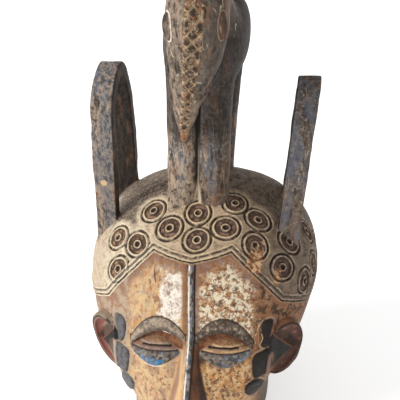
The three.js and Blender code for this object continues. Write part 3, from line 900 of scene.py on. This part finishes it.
def paint_fields(s):
    """Signed distances in millimetres to each painted form, below 0 on it, and shares from 0 to 1."""
    shell = helmet(s)[1]
    u = s.x - sway(s.z)
    side = np.abs(u)
    outside = shell > -6
    front = outside & (s.y < 8)
    azimuth, _, _ = dome_angles(s)

    def on_face(distance):
        return np.where(front, distance, FAR)

    def beyond_shell(distance):
        return np.clip(distance - shell, -NEAR, NEAR)

    t, brow_across = brow_place(side, s.z)
    brow_half = mix(BROW.end, BROW.width, arch(t)) / 2
    span = BROW.outer - BROW.inner
    brow = np.maximum((np.abs(brow_across) - 1) * brow_half, np.maximum(-t, t - 1) * span)
    t, w, half = lid_place(side, s.z)
    span = EYE.outer - EYE.inner
    lid = np.maximum(np.abs(w + 1) - half, np.maximum(-t, t - 1) * span)
    slit, over_slit = lid_line(t, w, SLIT)
    crease, over_crease = lid_line(t, w, CREASE)
    length, head_across, ahead = head_place(s)
    ridge = np.maximum(snout_edge(length, head_across), SNOUT.start * LENGTHS[-1] - length)
    ears_near = [ear_place(s, side) for side in (-1, 1)]
    cups = [super_form((np.maximum(x, 0), y, z), EAR.radii, 2) for x, y, z, _, _ in ears_near]
    right = s.x > 0
    by_ear = (s.z > SIDE_LINE.foot[1] - 2) & (s.z < SIDE_LINE.top[1] + 3)
    return {
        "across": u,
        "hollow": np.where(outside, 0, 1),
        "circle": np.where(outside, ring_distance(s), FAR),
        "border": hairline_distance(s),
        "azimuth": azimuth,
        "end_line": segment_distance(s, HAIR_END.start, HAIR_END.end),
        "crest": beyond_shell(crest(s)),
        "loop": beyond_shell(loops(s)),
        "loop_inside": np.where(right, loop_inside(s, 1), loop_inside(s, -1)),
        "ear": beyond_shell(ears(s)),
        "ear_cup": np.where(right, cups[1], cups[0]),
        "ear_flap": np.where(right, ears_near[1][4], ears_near[0][4]),
        "ear_depth": np.where(right, ears_near[1][3], ears_near[0][3]),
        "brow": on_face(brow),
        "brow_across": on_face(brow_across * brow_half),
        "lid": on_face(lid),
        "slit": slit,
        "over_slit": over_slit,
        "crease": crease,
        "over_crease": over_crease,
        "socket": np.where(front, -socket_relief(side, s.z), 0),
        "pad": on_face(pad_distance(side, s.z)),
        "side_line": on_face(np.where(by_ear, side - side_line(s.z), FAR)),
        "snout": np.where((ahead > 0) & (s.z > PAINT_FROM.snout), ridge, FAR),
        "stroke": crossed_strokes(length, head_across),
        "head_length": length,
        "under_head": np.where(s.z > PAINT_FROM.under_head, neck_and_head(s), FAR_OFF),
        "head_rim": np.where((s.z > PAINT_FROM.head_rim) & (head_across > 0), ahead, FAR),
        "animal_eye": np.minimum(animal_eye(s, -1), animal_eye(s, 1)),
    }


def measure(made):
    """Gives the mesh an attribute for each field of the paint."""
    mesh = made.data
    places = np.empty(3 * len(mesh.vertices), np.float32)
    mesh.vertices.foreach_get("co", places)
    spots = Spots(*(places.reshape(-1, 3).T[:, :, None] / MM))
    fields = {name: np.asarray(values, np.float32).ravel() for name, values in paint_fields(spots).items()}
    fields["edge"] = facing(mesh).astype(np.float32)
    for name, values in fields.items():
        mesh.attributes.new(name, "FLOAT", "POINT").data.foreach_set("value", values)


# The finish
def colour(code):
    """A colour from its web code."""
    shares = [int(code[i:i + 2], 16) / 255 for i in (1, 3, 5)]
    return (*[c / 12.92 if c <= 0.04045 else ((c + 0.055) / 1.055) ** 2.4 for c in shares], 1)


KAOLIN = colour("#efe8dc")
BONE = colour("#dccdb2")
CREAM = colour("#cfb185")
PEACH = colour("#cca47c")
OCHRE = colour("#b88652")
ORANGE = colour("#b0693a")
TAN = colour("#9c7a5c")
DUST = colour("#ac9884")
EARTH = colour("#786654")
CLAY = colour("#865a3c")
MAUVE = colour("#836558")
RUST = colour("#6a3f26")
PINK = colour("#8a524a")
BLUE = colour("#2e86bc")
SLATE = colour("#5a6472")
GREY = colour("#9c9188")
STONE = colour("#6a5f56")
SMOKE = colour("#443930")
UMBER = colour("#33241a")
SOOT = colour("#1a1410")
GREEN_BLACK = colour("#121614")

# Patches of paint and of bare wood: the middle and the half sizes of each, in millimetres
KAOLIN_PATCH = (-19, 226), (14, 28)
CREAM_FIELD = (35, 224), (36, 38)
CRACK = (-36, 246), (1.2, 7)
BARE_WOOD = (62, 254), (9, 10)
CHIP = (83, 237), (4, 7)
BLUE_LEFT = (-38, 167), (13, 7)
BLUE_RIGHT = (56, 171), (6, 4)
YELLOW_SPOT = (-95, 310), (4, 4)
DIAMOND = Sizes(x=66.5, z=187, half=3.6, tall=11)

# How crumbled the edges of random spots are
WORN = {"detail": 4, "rough": 0.65}
FLAKED = {"detail": 4, "rough": 0.7}
CHIPPED = {"detail": 5, "rough": 0.7}
GRITTY = {"detail": 5, "rough": 0.75}


class Value:
    """A socket that can be used in an expression."""

    def __init__(self, finish, socket):
        self.finish = finish
        self.socket = socket

    def maths(self, operation, *parts):
        return self.finish.node("ShaderNodeMath", {"operation": operation}, dict(enumerate(parts)))

    def __add__(self, other):
        return self.maths("ADD", self, other)

    def __sub__(self, other):
        return self.maths("SUBTRACT", self, other)

    def __rsub__(self, other):
        return self.maths("SUBTRACT", other, self)

    def __mul__(self, other):
        return self.maths("MULTIPLY", self, other)

    def __abs__(self):
        return self.maths("ABSOLUTE", self)

    def __or__(self, other):
        return self.maths("MAXIMUM", self, other)

    def lay(self, top, share):
        """Lays another colour over this one."""
        self.socket = self.finish.over(self, top, share).socket

    def dab(self, top, share, *spots, **shape):
        """Lays a colour over this one in random spots."""
        self.lay(top, self.finish.spots(*spots, **shape) * share)

    __radd__ = __add__
    __rmul__ = __mul__


class Finish:
    """A material whose nodes come from expressions."""

    def __init__(self, name):
        self.material = bpy.data.materials.new(name)
        self.material.use_nodes = True
        self.tree = self.material.node_tree
        self.shader = self.tree.nodes["Principled BSDF"]
        self.place = self.node("ShaderNodeTexCoord", output="Object")
        self.x, self.y, self.z = (
            self.node("ShaderNodeSeparateXYZ", sockets={0: self.place}, output=axis) * (1 / MM)
            for axis in "XYZ"
        )
        self.known = {}
        self.drawn_out = {1: self.place}

    def node(self, kind, settings=None, sockets=None, output=0):
        made = self.tree.nodes.new(kind)
        for name, value in (settings or {}).items():
            setattr(made, name, value)
        for key, value in (sockets or {}).items():
            self.put(made.inputs[key], value)
        return Value(self, made.outputs[output])

    def put(self, socket, value):
        if isinstance(value, Value):
            self.tree.links.new(value.socket, socket)
        else:
            socket.default_value = value

    def read(self, name):
        """One of the mesh's fields."""
        if name not in self.known:
            self.known[name] = self.node("ShaderNodeAttribute", {"attribute_name": name}, output="Fac")
        return self.known[name]

    def noise(self, size, seed, tall=1, detail=3, rough=0.5):
        """Random values about 0.5 that change over a size in millimetres, tall times it upwards."""
        if tall not in self.drawn_out:
            sockets = {0: self.place, 1: (1, 1, 1 / tall)}
            self.drawn_out[tall] = self.node("ShaderNodeVectorMath", {"operation": "MULTIPLY"}, sockets)
        sockets = {
            "Vector": self.drawn_out[tall], "W": 7.3 * seed, "Scale": 1 / (size * MM),
            "Detail": detail, "Roughness": rough,
        }
        return self.node("ShaderNodeTexNoise", {"noise_dimensions": "4D"}, sockets)

    def step(self, value, low, high):
        """0 at low and 1 at high, with a smooth change between them."""
        sockets = {"Value": value, "From Min": low, "From Max": high}
        return self.node("ShaderNodeMapRange", {"interpolation_type": "SMOOTHSTEP"}, sockets)

    def line(self, value, middle, half, soft=0.5):
        """1 within half of the middle."""
        return self.step(abs(value - middle), half + soft / 2, half - soft / 2)

    def oval(self, u, z, middle, halves):
        """1 at the rim of an oval, less within it."""
        across = (u - middle[0]) * (1 / halves[0])
        up = (z - middle[1]) * (1 / halves[1])
        total = across * across + up * up
        return total.maths("SQRT", total)

    def over(self, under, top, share):
        """The top colour laid over the other one."""
        return self.node("ShaderNodeMix", {"data_type": "RGBA"}, {0: share, 6: under, 7: top}, 2)

    def spots(self, size, seed, low, high, **shape):
        """1 in random spots of about a size in millimetres, 0 between them."""
        return self.step(self.noise(size, seed, **shape), low, high)

    def wander(self, far, size, seed, **shape):
        """Random values about 0, to push the edge of a form to and fro."""
        return (self.noise(size, seed, **shape) - 0.5) * far


def band_paint(f):
    """Cream ground with dark circles between light lines, browner to the right."""
    wobble = f.wander(2, 6, 57)
    circle, border = f.read("circle") + wobble, f.read("border") + wobble
    place = f.x + f.wander(60, 22, 1, detail=2)
    darker, darkest = f.step(place, -80, 0), f.step(place, 10, 90)
    ground = f.over(BONE, DUST, f.step(f.x, -78, -104) * 0.6)
    ground.lay(f.over(CREAM, DUST, 0.65), darker)
    ground.lay(EARTH, darkest)
    ground.lay(f.over(TAN, SMOKE, darker), f.spots(5, 2, 0.5, 0.56, **WORN) * 0.45)
    light = f.over(f.over(BONE, CREAM, darker * 0.6), DUST, darkest)
    dark = f.over(SMOKE, SOOT, darkest * 0.6 + 0.15)
    inside = f.over(TAN, MAUVE, darker * 0.7)
    inside.lay(UMBER, f.spots(4.5, 3, 0.44, 0.53) * 0.8 | darkest * 0.6)
    paint = f.over(ground, inside, f.step(circle, 11, 10.4))
    grooves = f.step(circle, 3.1, 2.3) | f.line(circle, 5.6, 0.6, 1.2)
    grooves = grooves | f.line(circle, 14, 1.2, 1.2) | f.line(circle, 9.8, 0.5, 1.2)
    paint.lay(dark, grooves * (1 - f.spots(6, 55, 0.53, 0.59) * 0.7))
    worn = 1 - f.spots(6, 4, 0.46, 0.54) * (darkest * 0.45 + 0.4)
    rings = f.line(circle, 3.8, 0.5, 0.8) | f.line(circle, 11.7, 0.6, 0.8) | f.line(circle, 16.1, 0.4, 0.8)
    paint.lay(light, rings * worn)
    paint.lay(SMOKE, f.line(f.read("end_line"), 0, 0.8) * 0.8)
    fading = f.step(abs(f.read("azimuth") - 2), 66, 52) | f.step(f.x, 0, -10)
    firm = 0.95 - f.spots(5, 83, 0.52, 0.58) * 0.5
    paint.lay(f.over(STONE, SMOKE, darker), f.line(border, 1.3, 1.1, 0.8) * fading * firm)
    paint.lay(light, (f.line(border, 3.5, 0.5) | f.line(border, -1.3, 0.5)) * worn * fading)
    paint.lay(f.over(SMOKE, SOOT, darker), f.line(border, -3, 0.8, 0.8) * fading * firm)
    paint.lay(f.over(BONE, TAN, darker), f.line(border, -4.8, 0.6) * fading)
    bare = f.oval(f.x, f.z, *BARE_WOOD) + f.wander(3, 5, 58, **FLAKED)
    chip = f.oval(f.x, f.z, *CHIP) + f.wander(2, 5, 58, **FLAKED)
    bare = f.step(bare, 1, 0.7) | f.step(chip, 1, 0.7)
    return f.over(paint, f.over(CLAY, PEACH, f.spots(5, 62, 0.46, 0.54)), bare * f.step(f.y, 10, 0))


def dome_paint(f):
    """The bare crown above the band, brushed and dusty, paler on the left and darker on the right as painted
    light and shade.
    """
    streaks = f.noise(7, 5, tall=0.4, **WORN)
    paint = f.over(EARTH, SMOKE, f.step(streaks, 0.45, 0.56))
    # Painted light and shade: paler grey to the left, darker brown to the right
    paint.lay(STONE, f.step(f.x, 0, -80) * 0.6)
    paint.lay(UMBER, f.step(f.x, 20, 100) * 0.5)
    # Dust, paler on the left as painted light
    dust = f.spots(4, 6, 0.47, 0.6, tall=0.4, **FLAKED)
    return f.over(paint, f.over(DUST, EARTH, f.step(f.x, -40, 60)), dust * 0.75)


def panel_paint(f):
    """The face's ground: ochre, with a kaolin patch on the left and pitted cream on the right."""
    u, z, border = f.read("across"), f.z, f.read("border")
    right = f.step(u, -2, 2)
    mottle = f.noise(9, 7, detail=5, rough=0.65)
    ochre = f.over(CREAM, PEACH, f.step(mottle, 0.45, 0.55))
    ochre.dab(OCHRE, 0.75, 6, 8, 0.48, 0.58, tall=2.5, **CHIPPED)
    patch = f.oval(u, z, *KAOLIN_PATCH) + f.wander(3, 10, 9, **WORN)
    ochre.lay(KAOLIN, f.step(patch, 1.15, 0.7) * 0.85)
    ochre.dab(GREY, 0.5, 6, 81, 0.52, 0.62, detail=4)
    ochre.dab(MAUVE, 0.55, 4, 10, 0.55, 0.62, **WORN)
    ochre.dab(MAUVE, 0.45, 4.5, 91, 0.51, 0.59, tall=1.5, **GRITTY)
    ochre.dab(CLAY, 0.7, 7, 80, 0.57, 0.63, tall=2)
    crack = f.oval(u + (z - CRACK[0][1]) * 0.15, z, *CRACK)
    ochre.lay(SMOKE, f.step(crack, 1.1, 0.6) * 0.8)
    pitted = f.over(CLAY, f.over(OCHRE, TAN, 0.4), f.step(mottle, 0.45, 0.55))
    field = f.oval(u, z, *CREAM_FIELD) + f.wander(2, 12, 11)
    cream = f.step(field, 1.1, 0.65) * f.spots(5.5, 12, 0.43, 0.52, **CHIPPED)
    pitted.lay(BONE, cream)
    pitted.dab(CLAY, 0.8, 5, 63, 0.51, 0.58, **FLAKED)
    pitted.dab(UMBER, 0.85, 3.8, 13, 0.52, 0.59, **GRITTY)
    paint = f.over(ochre, pitted, right)
    cheek = f.step(z, 176, 166)
    left_cheek = f.over(CREAM, PEACH, f.step(mottle, 0.45, 0.55))
    left_cheek.dab(MAUVE, 0.6, 7, 64, 0.48, 0.6, tall=3, **CHIPPED)
    left_cheek.dab(MAUVE, 0.4, 5, 90, 0.5, 0.58, tall=1.5, **GRITTY)
    left_cheek.dab(RUST, 0.75, 4, 14, 0.56, 0.62, **WORN)
    right_cheek = f.over(OCHRE, CLAY, f.step(mottle, 0.47, 0.56))
    right_cheek.dab(CREAM, 0.85, 5, 15, 0.47, 0.57, tall=1.5, **GRITTY)
    right_cheek.dab(UMBER, 0.85, 4, 16, 0.52, 0.6, **GRITTY)
    paint.lay(f.over(left_cheek, right_cheek, right), cheek)
    edge = f.step(border + f.wander(14, 8, 17), -19, -8)
    margin = f.over(MAUVE, CLAY, f.spots(7, 18, 0.45, 0.56))
    paint.lay(margin, edge * 0.85)
    beside = f.line(abs(u), 6, 2.6, 3) * f.step(z, 165, 182)
    paint.lay(f.over(CLAY, MAUVE, right), beside * 0.8)
    temple = f.step(abs(u) + f.wander(10, 7, 65), 58, 68)
    sides = f.over(DUST, CLAY, f.step(mottle, 0.45, 0.56) * 0.7)
    right_side = f.over(TAN, CLAY, f.step(mottle, 0.4, 0.5))
    right_side.lay(UMBER, f.spots(6, 87, 0.48, 0.56, **FLAKED))
    sides.lay(right_side, right)
    return f.over(paint, sides, temple * 0.85)


def nose_paint(f, paint):
    """Peach on the left flank, dark brown on the right one as painted shade, and a slate ridge from brow to
    tip.
    """
    u, z = f.read("across"), f.z
    down = f.step(z, NASION_Z, NOSE_TIP_Z)
    half = 8 + 15 * down
    flank = f.step(abs(u) - half, 2, -1) * f.step(z, NASION_Z + 2, NASION_Z - 14)
    left = f.over(PEACH, OCHRE, f.spots(8, 19, 0.47, 0.56, tall=3) * 0.6)
    left.lay(MAUVE, f.line(u + half * 0.75, 0, 2.4, 3) * 0.75)
    left.lay(CREAM, f.line(u, -7, 1.6, 2) * 0.7)
    # The right flank is dark brown as painted shade, blackest towards the cheek
    right = f.over(RUST, UMBER, f.spots(7, 20, 0.44, 0.6, tall=4, detail=4) * 0.6)
    right.lay(SOOT, f.step(u - half * 0.6, 0, 4) * 0.7)
    paint.lay(f.over(left, right, f.step(u, -1, 1)), flank)
    shadow = f.line(u, 13, 4, 6) * f.line(z, 178, 10, 10)
    paint.lay(SOOT, shadow * 0.8)
    below = f.step(f.read("border"), -3.5, -4.5)
    ridge = f.step(abs(u), 3.1, 2.5) * below
    slate = f.over(SLATE, SMOKE, f.spots(8, 21, 0.4, 0.6, detail=2))
    slate.lay(GREY, f.spots(3.5, 22, 0.46, 0.6, tall=2, detail=4))
    # A painted highlight: broken white along the ridge's left edge
    slate.lay(KAOLIN, f.line(u, -1.3, 0.7, 1) * f.spots(6, 56, 0.4, 0.5, tall=3) * 0.85)
    # Painted shade: a black line in the groove on the ridge's right side
    paint.lay(SOOT, f.line(u, 3.9, 0.8) * below * 0.9)
    return f.over(paint, slate, ridge * f.step(z, NOSE_TIP_Z - 4, NOSE_TIP_Z))


def eye_paint(f, paint):
    """Tan upper lid, dark slit, pale strip, dark crease and a slate lower lid with bright flecks; painted
    shade at the upper lid's edge and under the brow, and a painted highlight on the lid's rim.
    """
    u, z = f.read("across"), f.z
    right = f.step(u, -1, 1)
    fine = f.noise(5, 23, rough=0.6)
    socket = f.step(f.read("socket"), 0.5, 1.5)
    paint.lay(f.over(RUST, CLAY, f.step(fine, 0.46, 0.54)), socket)
    edge = f.read("lid")
    # A painted highlight: a broken white line on the upper lid's rim, stronger on the left
    outline = f.line(edge, 1.3, 0.5, 1) * f.step(z, 174, 171) * f.step(fine, 0.46, 0.52)
    paint.lay(KAOLIN, outline * (0.6 - 0.4 * right))
    slit, crease = f.read("slit"), f.read("crease")
    upper = f.over(TAN, f.over(MAUVE, CLAY, right), f.step(fine, 0.46, 0.54) * 0.7)
    upper.dab(CREAM, 0.55, 4, 92, 0.5, 0.58, tall=0.4, **FLAKED)
    # Painted shade: rust towards the upper lid's edge
    upper.lay(RUST, f.step(edge, -4, -0.5) * 0.65)
    lids = f.over(upper, f.over(MAUVE, TAN, right), f.step(f.read("over_slit"), 0.5, -0.5))
    lower = f.over(STONE, SMOKE, f.spots(6, 26, 0.46, 0.56))
    lower.dab(SLATE, 0.7, 7, 25, 0.42, 0.58, detail=2)
    lower.dab(GREY, 0.6, 3.6, 27, 0.53, 0.59, detail=2)
    blue = f.oval(u, z, *BLUE_LEFT) + f.wander(4, 6, 28)
    blue_right = f.oval(u, z, *BLUE_RIGHT) + f.wander(3, 6, 28)
    blue = f.step(blue, 1, 0.6) * f.spots(3.6, 85, 0.42, 0.54, detail=2) * 0.75
    lower.lay(BLUE, blue | f.step(blue_right, 1, 0.5) * 0.5)
    rims = f.line(f.read("over_slit"), 1.9, 0.5, 0.8) | f.line(f.read("over_slit"), -1.7, 0.4, 0.8)
    lids.lay(f.over(GREY, CREAM, right), rims * f.step(fine, 0.4, 0.54) * 0.7)
    lids.lay(lower, f.step(f.read("over_crease"), 0.2, -0.6))
    lids.lay(SOOT, f.step(crease, 0.9, 0.3) * 0.85 | f.step(slit, 1.1, 0.4))
    paint.lay(lids, f.step(edge, 0.5, -0.5))
    across = f.read("brow_across")
    worn = f.noise(3.6, 84, **CHIPPED)
    brow = f.over(DUST, STONE, f.step(worn, 0.4, 0.6))
    # Painted shade: darker towards the lower side of the brow
    brow.lay(SMOKE, f.step(across, 1, -3) * 0.75)
    brow.lay(UMBER, right * f.spots(4, 29, 0.36, 0.54, **CHIPPED) * 0.85)
    paint.lay(brow, f.step(f.read("brow"), 0.5, -0.2))
    near = f.step(f.read("brow"), 1.6, 1)
    paint.lay(SOOT, f.step(across, 0, 1) * f.line(f.read("brow"), 0.3, 0.4) * near * 0.85)
    streak = f.line(u, -19, 8, 3) * f.line(across, -4.6, 0.9) * near
    return f.over(paint, KAOLIN, streak * f.step(fine, 0.4, 0.5))


def side_paint(f, paint):
    """Dark pads with light outlines beside the eyes, a line before the ear, and a small diamond."""
    u, pad = f.read("across"), f.read("pad")
    right = f.step(u, -1, 1)
    outline = f.over(DUST, TAN, right * 0.8)
    paint.lay(outline, f.line(pad, 1.7, 0.7, 0.8) * f.spots(6, 31, 0.34, 0.48))
    dark_left = f.over(SLATE, STONE, f.noise(5, 32, detail=2))
    dark_left.dab(SMOKE, 0.6, 5, 68, 0.48, 0.58)
    dark_right = f.over(SOOT, UMBER, f.spots(5, 33, 0.5, 0.64) * 0.25)
    paint.lay(f.over(dark_left, dark_right, right), f.step(pad, 0.6, -0.1))
    paint.lay(f.over(DUST, MAUVE, right), f.line(f.read("side_line"), 0, 1.8, 1) * 0.8)
    diamond = abs(u - DIAMOND.x) * (1 / DIAMOND.half) + abs(f.z - DIAMOND.z) * (1 / DIAMOND.tall)
    paint.lay(CLAY, f.step(diamond, 1, 0.9) * 0.6)
    return f.over(paint, CREAM, f.line(diamond, 1.15, 0.1, 0.1) * f.spots(4, 69, 0.4, 0.52) * 0.8)


def ear_paint(f):
    """Dull pink in the cup with painted shade beside the flap, black on the flap, and dust or dark wood
    behind.
    """
    right = f.step(f.x, -1, 1)
    cup, flap, depth = f.read("ear_cup"), f.read("ear_flap"), f.read("ear_depth")
    brown = f.over(CLAY, MAUVE, f.noise(5, 34, detail=2))
    inner = f.over(PINK, brown, f.spots(6, 35, 0.45, 0.6, detail=4) * 0.7)
    inner.lay(UMBER, right * f.step(f.noise(7, 70), 0.3, 0.5) * 0.75)
    # Painted shade: black in the deep part of the cup beside the flap
    inner.lay(SOOT, f.step(flap, 8, 2) * f.step(flap, -1, 1) * 0.9)
    outside = f.over(EARTH, DUST, f.noise(5, 71, detail=4))
    outside.lay(f.over(CLAY, UMBER, f.noise(6, 72, detail=2)), right)
    paint = f.over(outside, inner, f.step(cup, -2.6, -3.6))
    paint.lay(SOOT, f.line(cup, -1.5, 1, 0.8) * f.step(depth, 3, 2) * 0.85)
    front = f.step(flap, 0.4, -0.4) * f.step(depth, 3, 2)
    paint.lay(f.over(SOOT, GREEN_BLACK, f.spots(6, 36, 0.48, 0.6)), front)
    return f.over(paint, CLAY, f.line(flap, 0, 0.5) * front * 0.7)


def crest_paint(f):
    """Dark wood under dust, with slate and rust tints and light scratches, paler on the left as painted
    light, with painted shade under the head and in the loops.
    """
    middle = f.x - (f.z - CROWN_Z) * LEAN
    # 1 on the crest's left side, where the dust is paler and heavier as painted light from that side
    left = f.step(middle, 22, -14)
    under = f.read("under_head")
    away = f.step(under, 1.5, 20)
    paint = f.over(SMOKE, UMBER, f.spots(12, 37, 0.45, 0.56, tall=4))
    paint.lay(SLATE, f.spots(13, 38, 0.48, 0.6, tall=3, detail=4) * (0.15 + 0.45 * away))
    paint.dab(CLAY, 0.6, 10, 39, 0.56, 0.62, tall=5)
    # Dust all over, heavier on the left, where it is also a painted sheen
    dust = f.spots(3.6, 41, 0.44, 0.57, tall=2.5, **GRITTY)
    paint.lay(f.over(EARTH, DUST, left), dust * (0.15 + 0.3 * away + 0.35 * left))
    paint.lay(DUST, f.spots(3.4, 40, 0.52, 0.59, **FLAKED) * (0.1 + 0.25 * away + 0.4 * left))
    scratch = f.line(f.noise(16, 73, tall=4, detail=2), 0.5, 0.006, 0.01)
    paint.lay(BONE, scratch * f.spots(9, 74, 0.48, 0.6, detail=2) * 0.5)
    paint.dab(SOOT, 0.7, 5, 75, 0.54, 0.62, tall=5, detail=4)
    # Dust near the feet, paler on the left as painted light
    foot = f.step(f.z, 380, 290) * f.spots(5, 42, 0.47, 0.55, tall=2, rough=0.65)
    paint.lay(f.over(EARTH, DUST, left), foot * 0.45)
    loop = f.step(f.read("loop"), 0.5, -0.5) * f.step(abs(f.x), 55, 60)
    # Soot-dark on the loops' faces that look inward or into the arch: dark paint and painted shade
    inside = f.step(f.read("loop_inside"), -1.6, -0.6) * loop
    paint.lay(f.over(SOOT, CLAY, f.spots(6, 76, 0.5, 0.7, tall=4) * 0.5), inside * 0.9)
    outside = loop * f.step(f.read("loop_inside"), -0.6, -1.6)
    paint.lay(SLATE, outside * f.spots(12, 89, 0.4, 0.6, tall=3, **FLAKED) * 0.5)
    spot = f.oval(f.x, f.z, *YELLOW_SPOT) + f.noise(3, 77, detail=2) - 0.5
    paint.lay(CREAM, f.step(spot, 1.1, 0.7) * f.step(f.y, 12, 8) * loop)
    legs = f.step(f.y, 40, 30) * f.step(under, 1, 3) * (1 - loop)
    paint.lay(SOOT, f.step(abs(middle), 3.5, 1.5) * legs * f.step(f.z, 300, 320) * 0.9)
    slit = f.step(abs(middle - 1) - f.step(f.z, 318, 288) * 3.5, 1.4, 0.4) * f.step(f.z, 385, 320)
    paint.lay(BONE, slit * legs * 0.65)
    shade = f.step(under, 1.5, 6) * f.step(f.z + f.wander(20, 9, 86), 348, 380) * (1 - loop)
    paint.lay(SOOT, shade * 0.7)
    # Dust on the head, with a painted sheen on its left side
    head_dust_and_sheen = f.spots(4.5, 88, 0.47, 0.57, tall=2.5, **CHIPPED) * f.step(under, 1.5, 0.5)
    paint.lay(DUST, head_dust_and_sheen * (0.05 + 0.35 * left))
    # A painted highlight: a thin pale line along the head's right edge
    rim = f.line(f.read("head_rim"), 1, 0.8, 1) * f.step(under, 2, 1)
    paint.lay(DUST, rim * 0.8)
    snout, length = f.read("snout"), f.read("head_length")
    carved = f.over(EARTH, UMBER, f.spots(5, 43, 0.42, 0.52))
    carved.dab(ORANGE, 0.4, 6, 44, 0.56, 0.68, detail=2)
    stroke = f.read("stroke") * f.spots(6, 45, 0.28, 0.4, detail=2)
    carved.lay(f.over(CREAM, DUST, f.noise(4, 78, detail=2)), stroke)
    paint.lay(carved, f.step(snout, 0.8, -0.4))
    end = SNOUT.end * LENGTHS[-1]
    tip = f.step(length, end - 4, end + 2) * f.step(under, 2, 1)
    paint.lay(f.over(CLAY, TAN, f.step(f.noise(4, 79), 0.44, 0.58)), tip * 0.9)
    # The animal's eyes are paler, with whiter rims, on the left, as painted light from that side
    eye, light = f.read("animal_eye"), f.step(f.x, 60, -20)
    paint.lay(f.over(RUST, MAUVE, light), f.step(eye, 0.6, -0.2) * (0.5 + 0.4 * light))
    paint.lay(SOOT, f.line(eye, -1.4, 0.4) * 0.7)
    rims = f.line(eye, 1.4, 0.5) | f.line(eye, -0.4, 0.3)
    return f.over(paint, f.over(TAN, KAOLIN, light), rims * (0.3 + 0.7 * light))


def worn_paint():
    """The whole finish: each part's paint, wear on the edges, dirt and painted shade in the grooves, and fine
    relief.
    """
    f = Finish("worn_paint")
    edge = f.read("edge")
    border, circle = f.read("border"), f.read("circle")
    face = side_paint(f, eye_paint(f, nose_paint(f, panel_paint(f))))
    behind = f.step(f.y + f.wander(24, 14, 66, detail=2), -42, -6)
    face.lay(f.over(UMBER, EARTH, f.noise(7, 67, tall=3, **CHIPPED)), behind)
    near = f.step(circle + f.wander(8, 9, 46, detail=2), 24, 17) | f.step(border, 30, 18)
    near = near | f.step(f.x, -74, -92) * f.step(f.z, 268, 252)
    upper = f.over(dome_paint(f), band_paint(f), near * f.step(abs(f.read("azimuth") - 2), 106, 103))
    paint = f.over(face, upper, f.step(border, -5.4, -4.9))
    # Painted shade: dark brown on the head's side deep in the ear's cup, beside the flap
    ear_hollow_shade = f.step(f.read("ear_cup"), 1, -1) * f.step(abs(f.read("across")), 80, 84) * f.step(f.z, 128, 132)
    paint.lay(UMBER, ear_hollow_shade * f.step(f.read("ear_flap"), 10, 4) * 0.85)
    paint.lay(ear_paint(f), f.step(f.read("ear"), 0.5, -0.5))
    standing = f.step(f.read("crest"), 1.5, -0.5) | f.step(f.read("loop"), 0.5, -0.5)
    paint.lay(crest_paint(f), standing)
    worn = f.step(edge + f.wander(0.5, 6, 47), 0.12, 0.3)
    paint.lay(f.over(TAN, ORANGE, f.noise(9, 48, detail=2) * 0.5), worn * standing * 0.75)
    # Dark brown in grooves and creases: dirt, and painted shade where the surface curves inward
    dirt_and_crease_shade = f.step(edge, -0.03, -0.2)
    paint.lay(UMBER, dirt_and_crease_shade * f.spots(5, 49, 0.3, 0.55, detail=2) * 0.6)
    paint.lay(f.over(RUST, UMBER, f.noise(12, 50, detail=4)), f.read("hollow"))
    pits = f.noise(2.6, 51, **CHIPPED)
    grain = f.noise(1.8, 52, tall=4)
    sockets = {"Strength": 0.8, "Distance": 1.1 * MM, "Height": pits * 0.75 + grain * 0.25}
    f.put(f.shader.inputs["Normal"], f.node("ShaderNodeBump", {}, sockets))
    f.put(f.shader.inputs["Roughness"], 0.5 + f.noise(5, 53) * 0.35)
    f.put(f.shader.inputs["Base Color"], paint)
    f.put(f.shader.inputs["Specular IOR Level"], 0.3)
    return f.material


mask = thinned(mesh_object("carved_mask", *carved_mesh()))
measure(mask)
mask.data.materials.append(worn_paint())


# The floor, the light and the camera, in metres
FLOOR_REACH = 6
FLOOR = {
    "Base Color": (0.9, 0.9, 0.9, 1), "Roughness": 0.9,
    "Emission Color": (1, 1, 1, 1), "Emission Strength": 0.48,
}
SKY = {"Color": (1, 1, 1, 1), "Strength": 0.6}
SUN = Sizes(energy=2.3, angle=0.45, color=(1, 0.98, 0.95), way=(0.75, 0.4, -0.6))

# It looks down on the mask from a little to the viewer's right, and is tilted a little
CAMERA = Sizes(
    place=(0.1168, -0.7075, 0.7552), azimuth=9.1, elevation=32.74, roll=-3.67,
    focal_px=844.84, frame_px=400, sensor_mm=36,
)


def set_inputs(node, values):
    for name, value in values.items():
        node.inputs[name].default_value = value


def floor():
    reach = float(FLOOR_REACH)
    corners = [(-reach, -reach, 0), (reach, -reach, 0), (reach, reach, 0), (-reach, reach, 0)]
    mesh = bpy.data.meshes.new("floor")
    mesh.from_pydata(corners, [], [(0, 1, 2, 3)])
    finish = bpy.data.materials.new("pale_floor")
    finish.use_nodes = True
    set_inputs(finish.node_tree.nodes["Principled BSDF"], FLOOR)
    mesh.materials.append(finish)
    add("floor", mesh)


def studio():
    world = bpy.data.worlds.new("studio")
    world.use_nodes = True
    set_inputs(world.node_tree.nodes["Background"], SKY)
    bpy.context.scene.world = world
    bpy.context.scene.view_settings.view_transform = "Standard"
    key = bpy.data.lights.new("key", "SUN")
    key.energy, key.angle, key.color = SUN.energy, SUN.angle, SUN.color
    add("key", key).rotation_euler = Vector(SUN.way).to_track_quat("-Z", "Y").to_euler()


def camera():
    roll = math.radians(CAMERA.roll)
    back = Vector(direction(CAMERA.azimuth, CAMERA.elevation))
    right = Vector((math.cos(math.radians(CAMERA.azimuth)), math.sin(math.radians(CAMERA.azimuth)), 0))
    up = back.cross(right)
    turned = Matrix((
        math.cos(roll) * right + math.sin(roll) * up,
        math.cos(roll) * up - math.sin(roll) * right,
        back,
    )).transposed().to_4x4()
    lens = bpy.data.cameras.new("camera")
    lens.sensor_width = CAMERA.sensor_mm
    lens.lens = CAMERA.focal_px / CAMERA.frame_px * lens.sensor_width
    made = add("camera", lens)
    made.matrix_world = Matrix.Translation(CAMERA.place) @ turned
    bpy.context.scene.camera = made


floor()
studio()
camera()

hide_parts("helmet_mask")
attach(mask, "root")
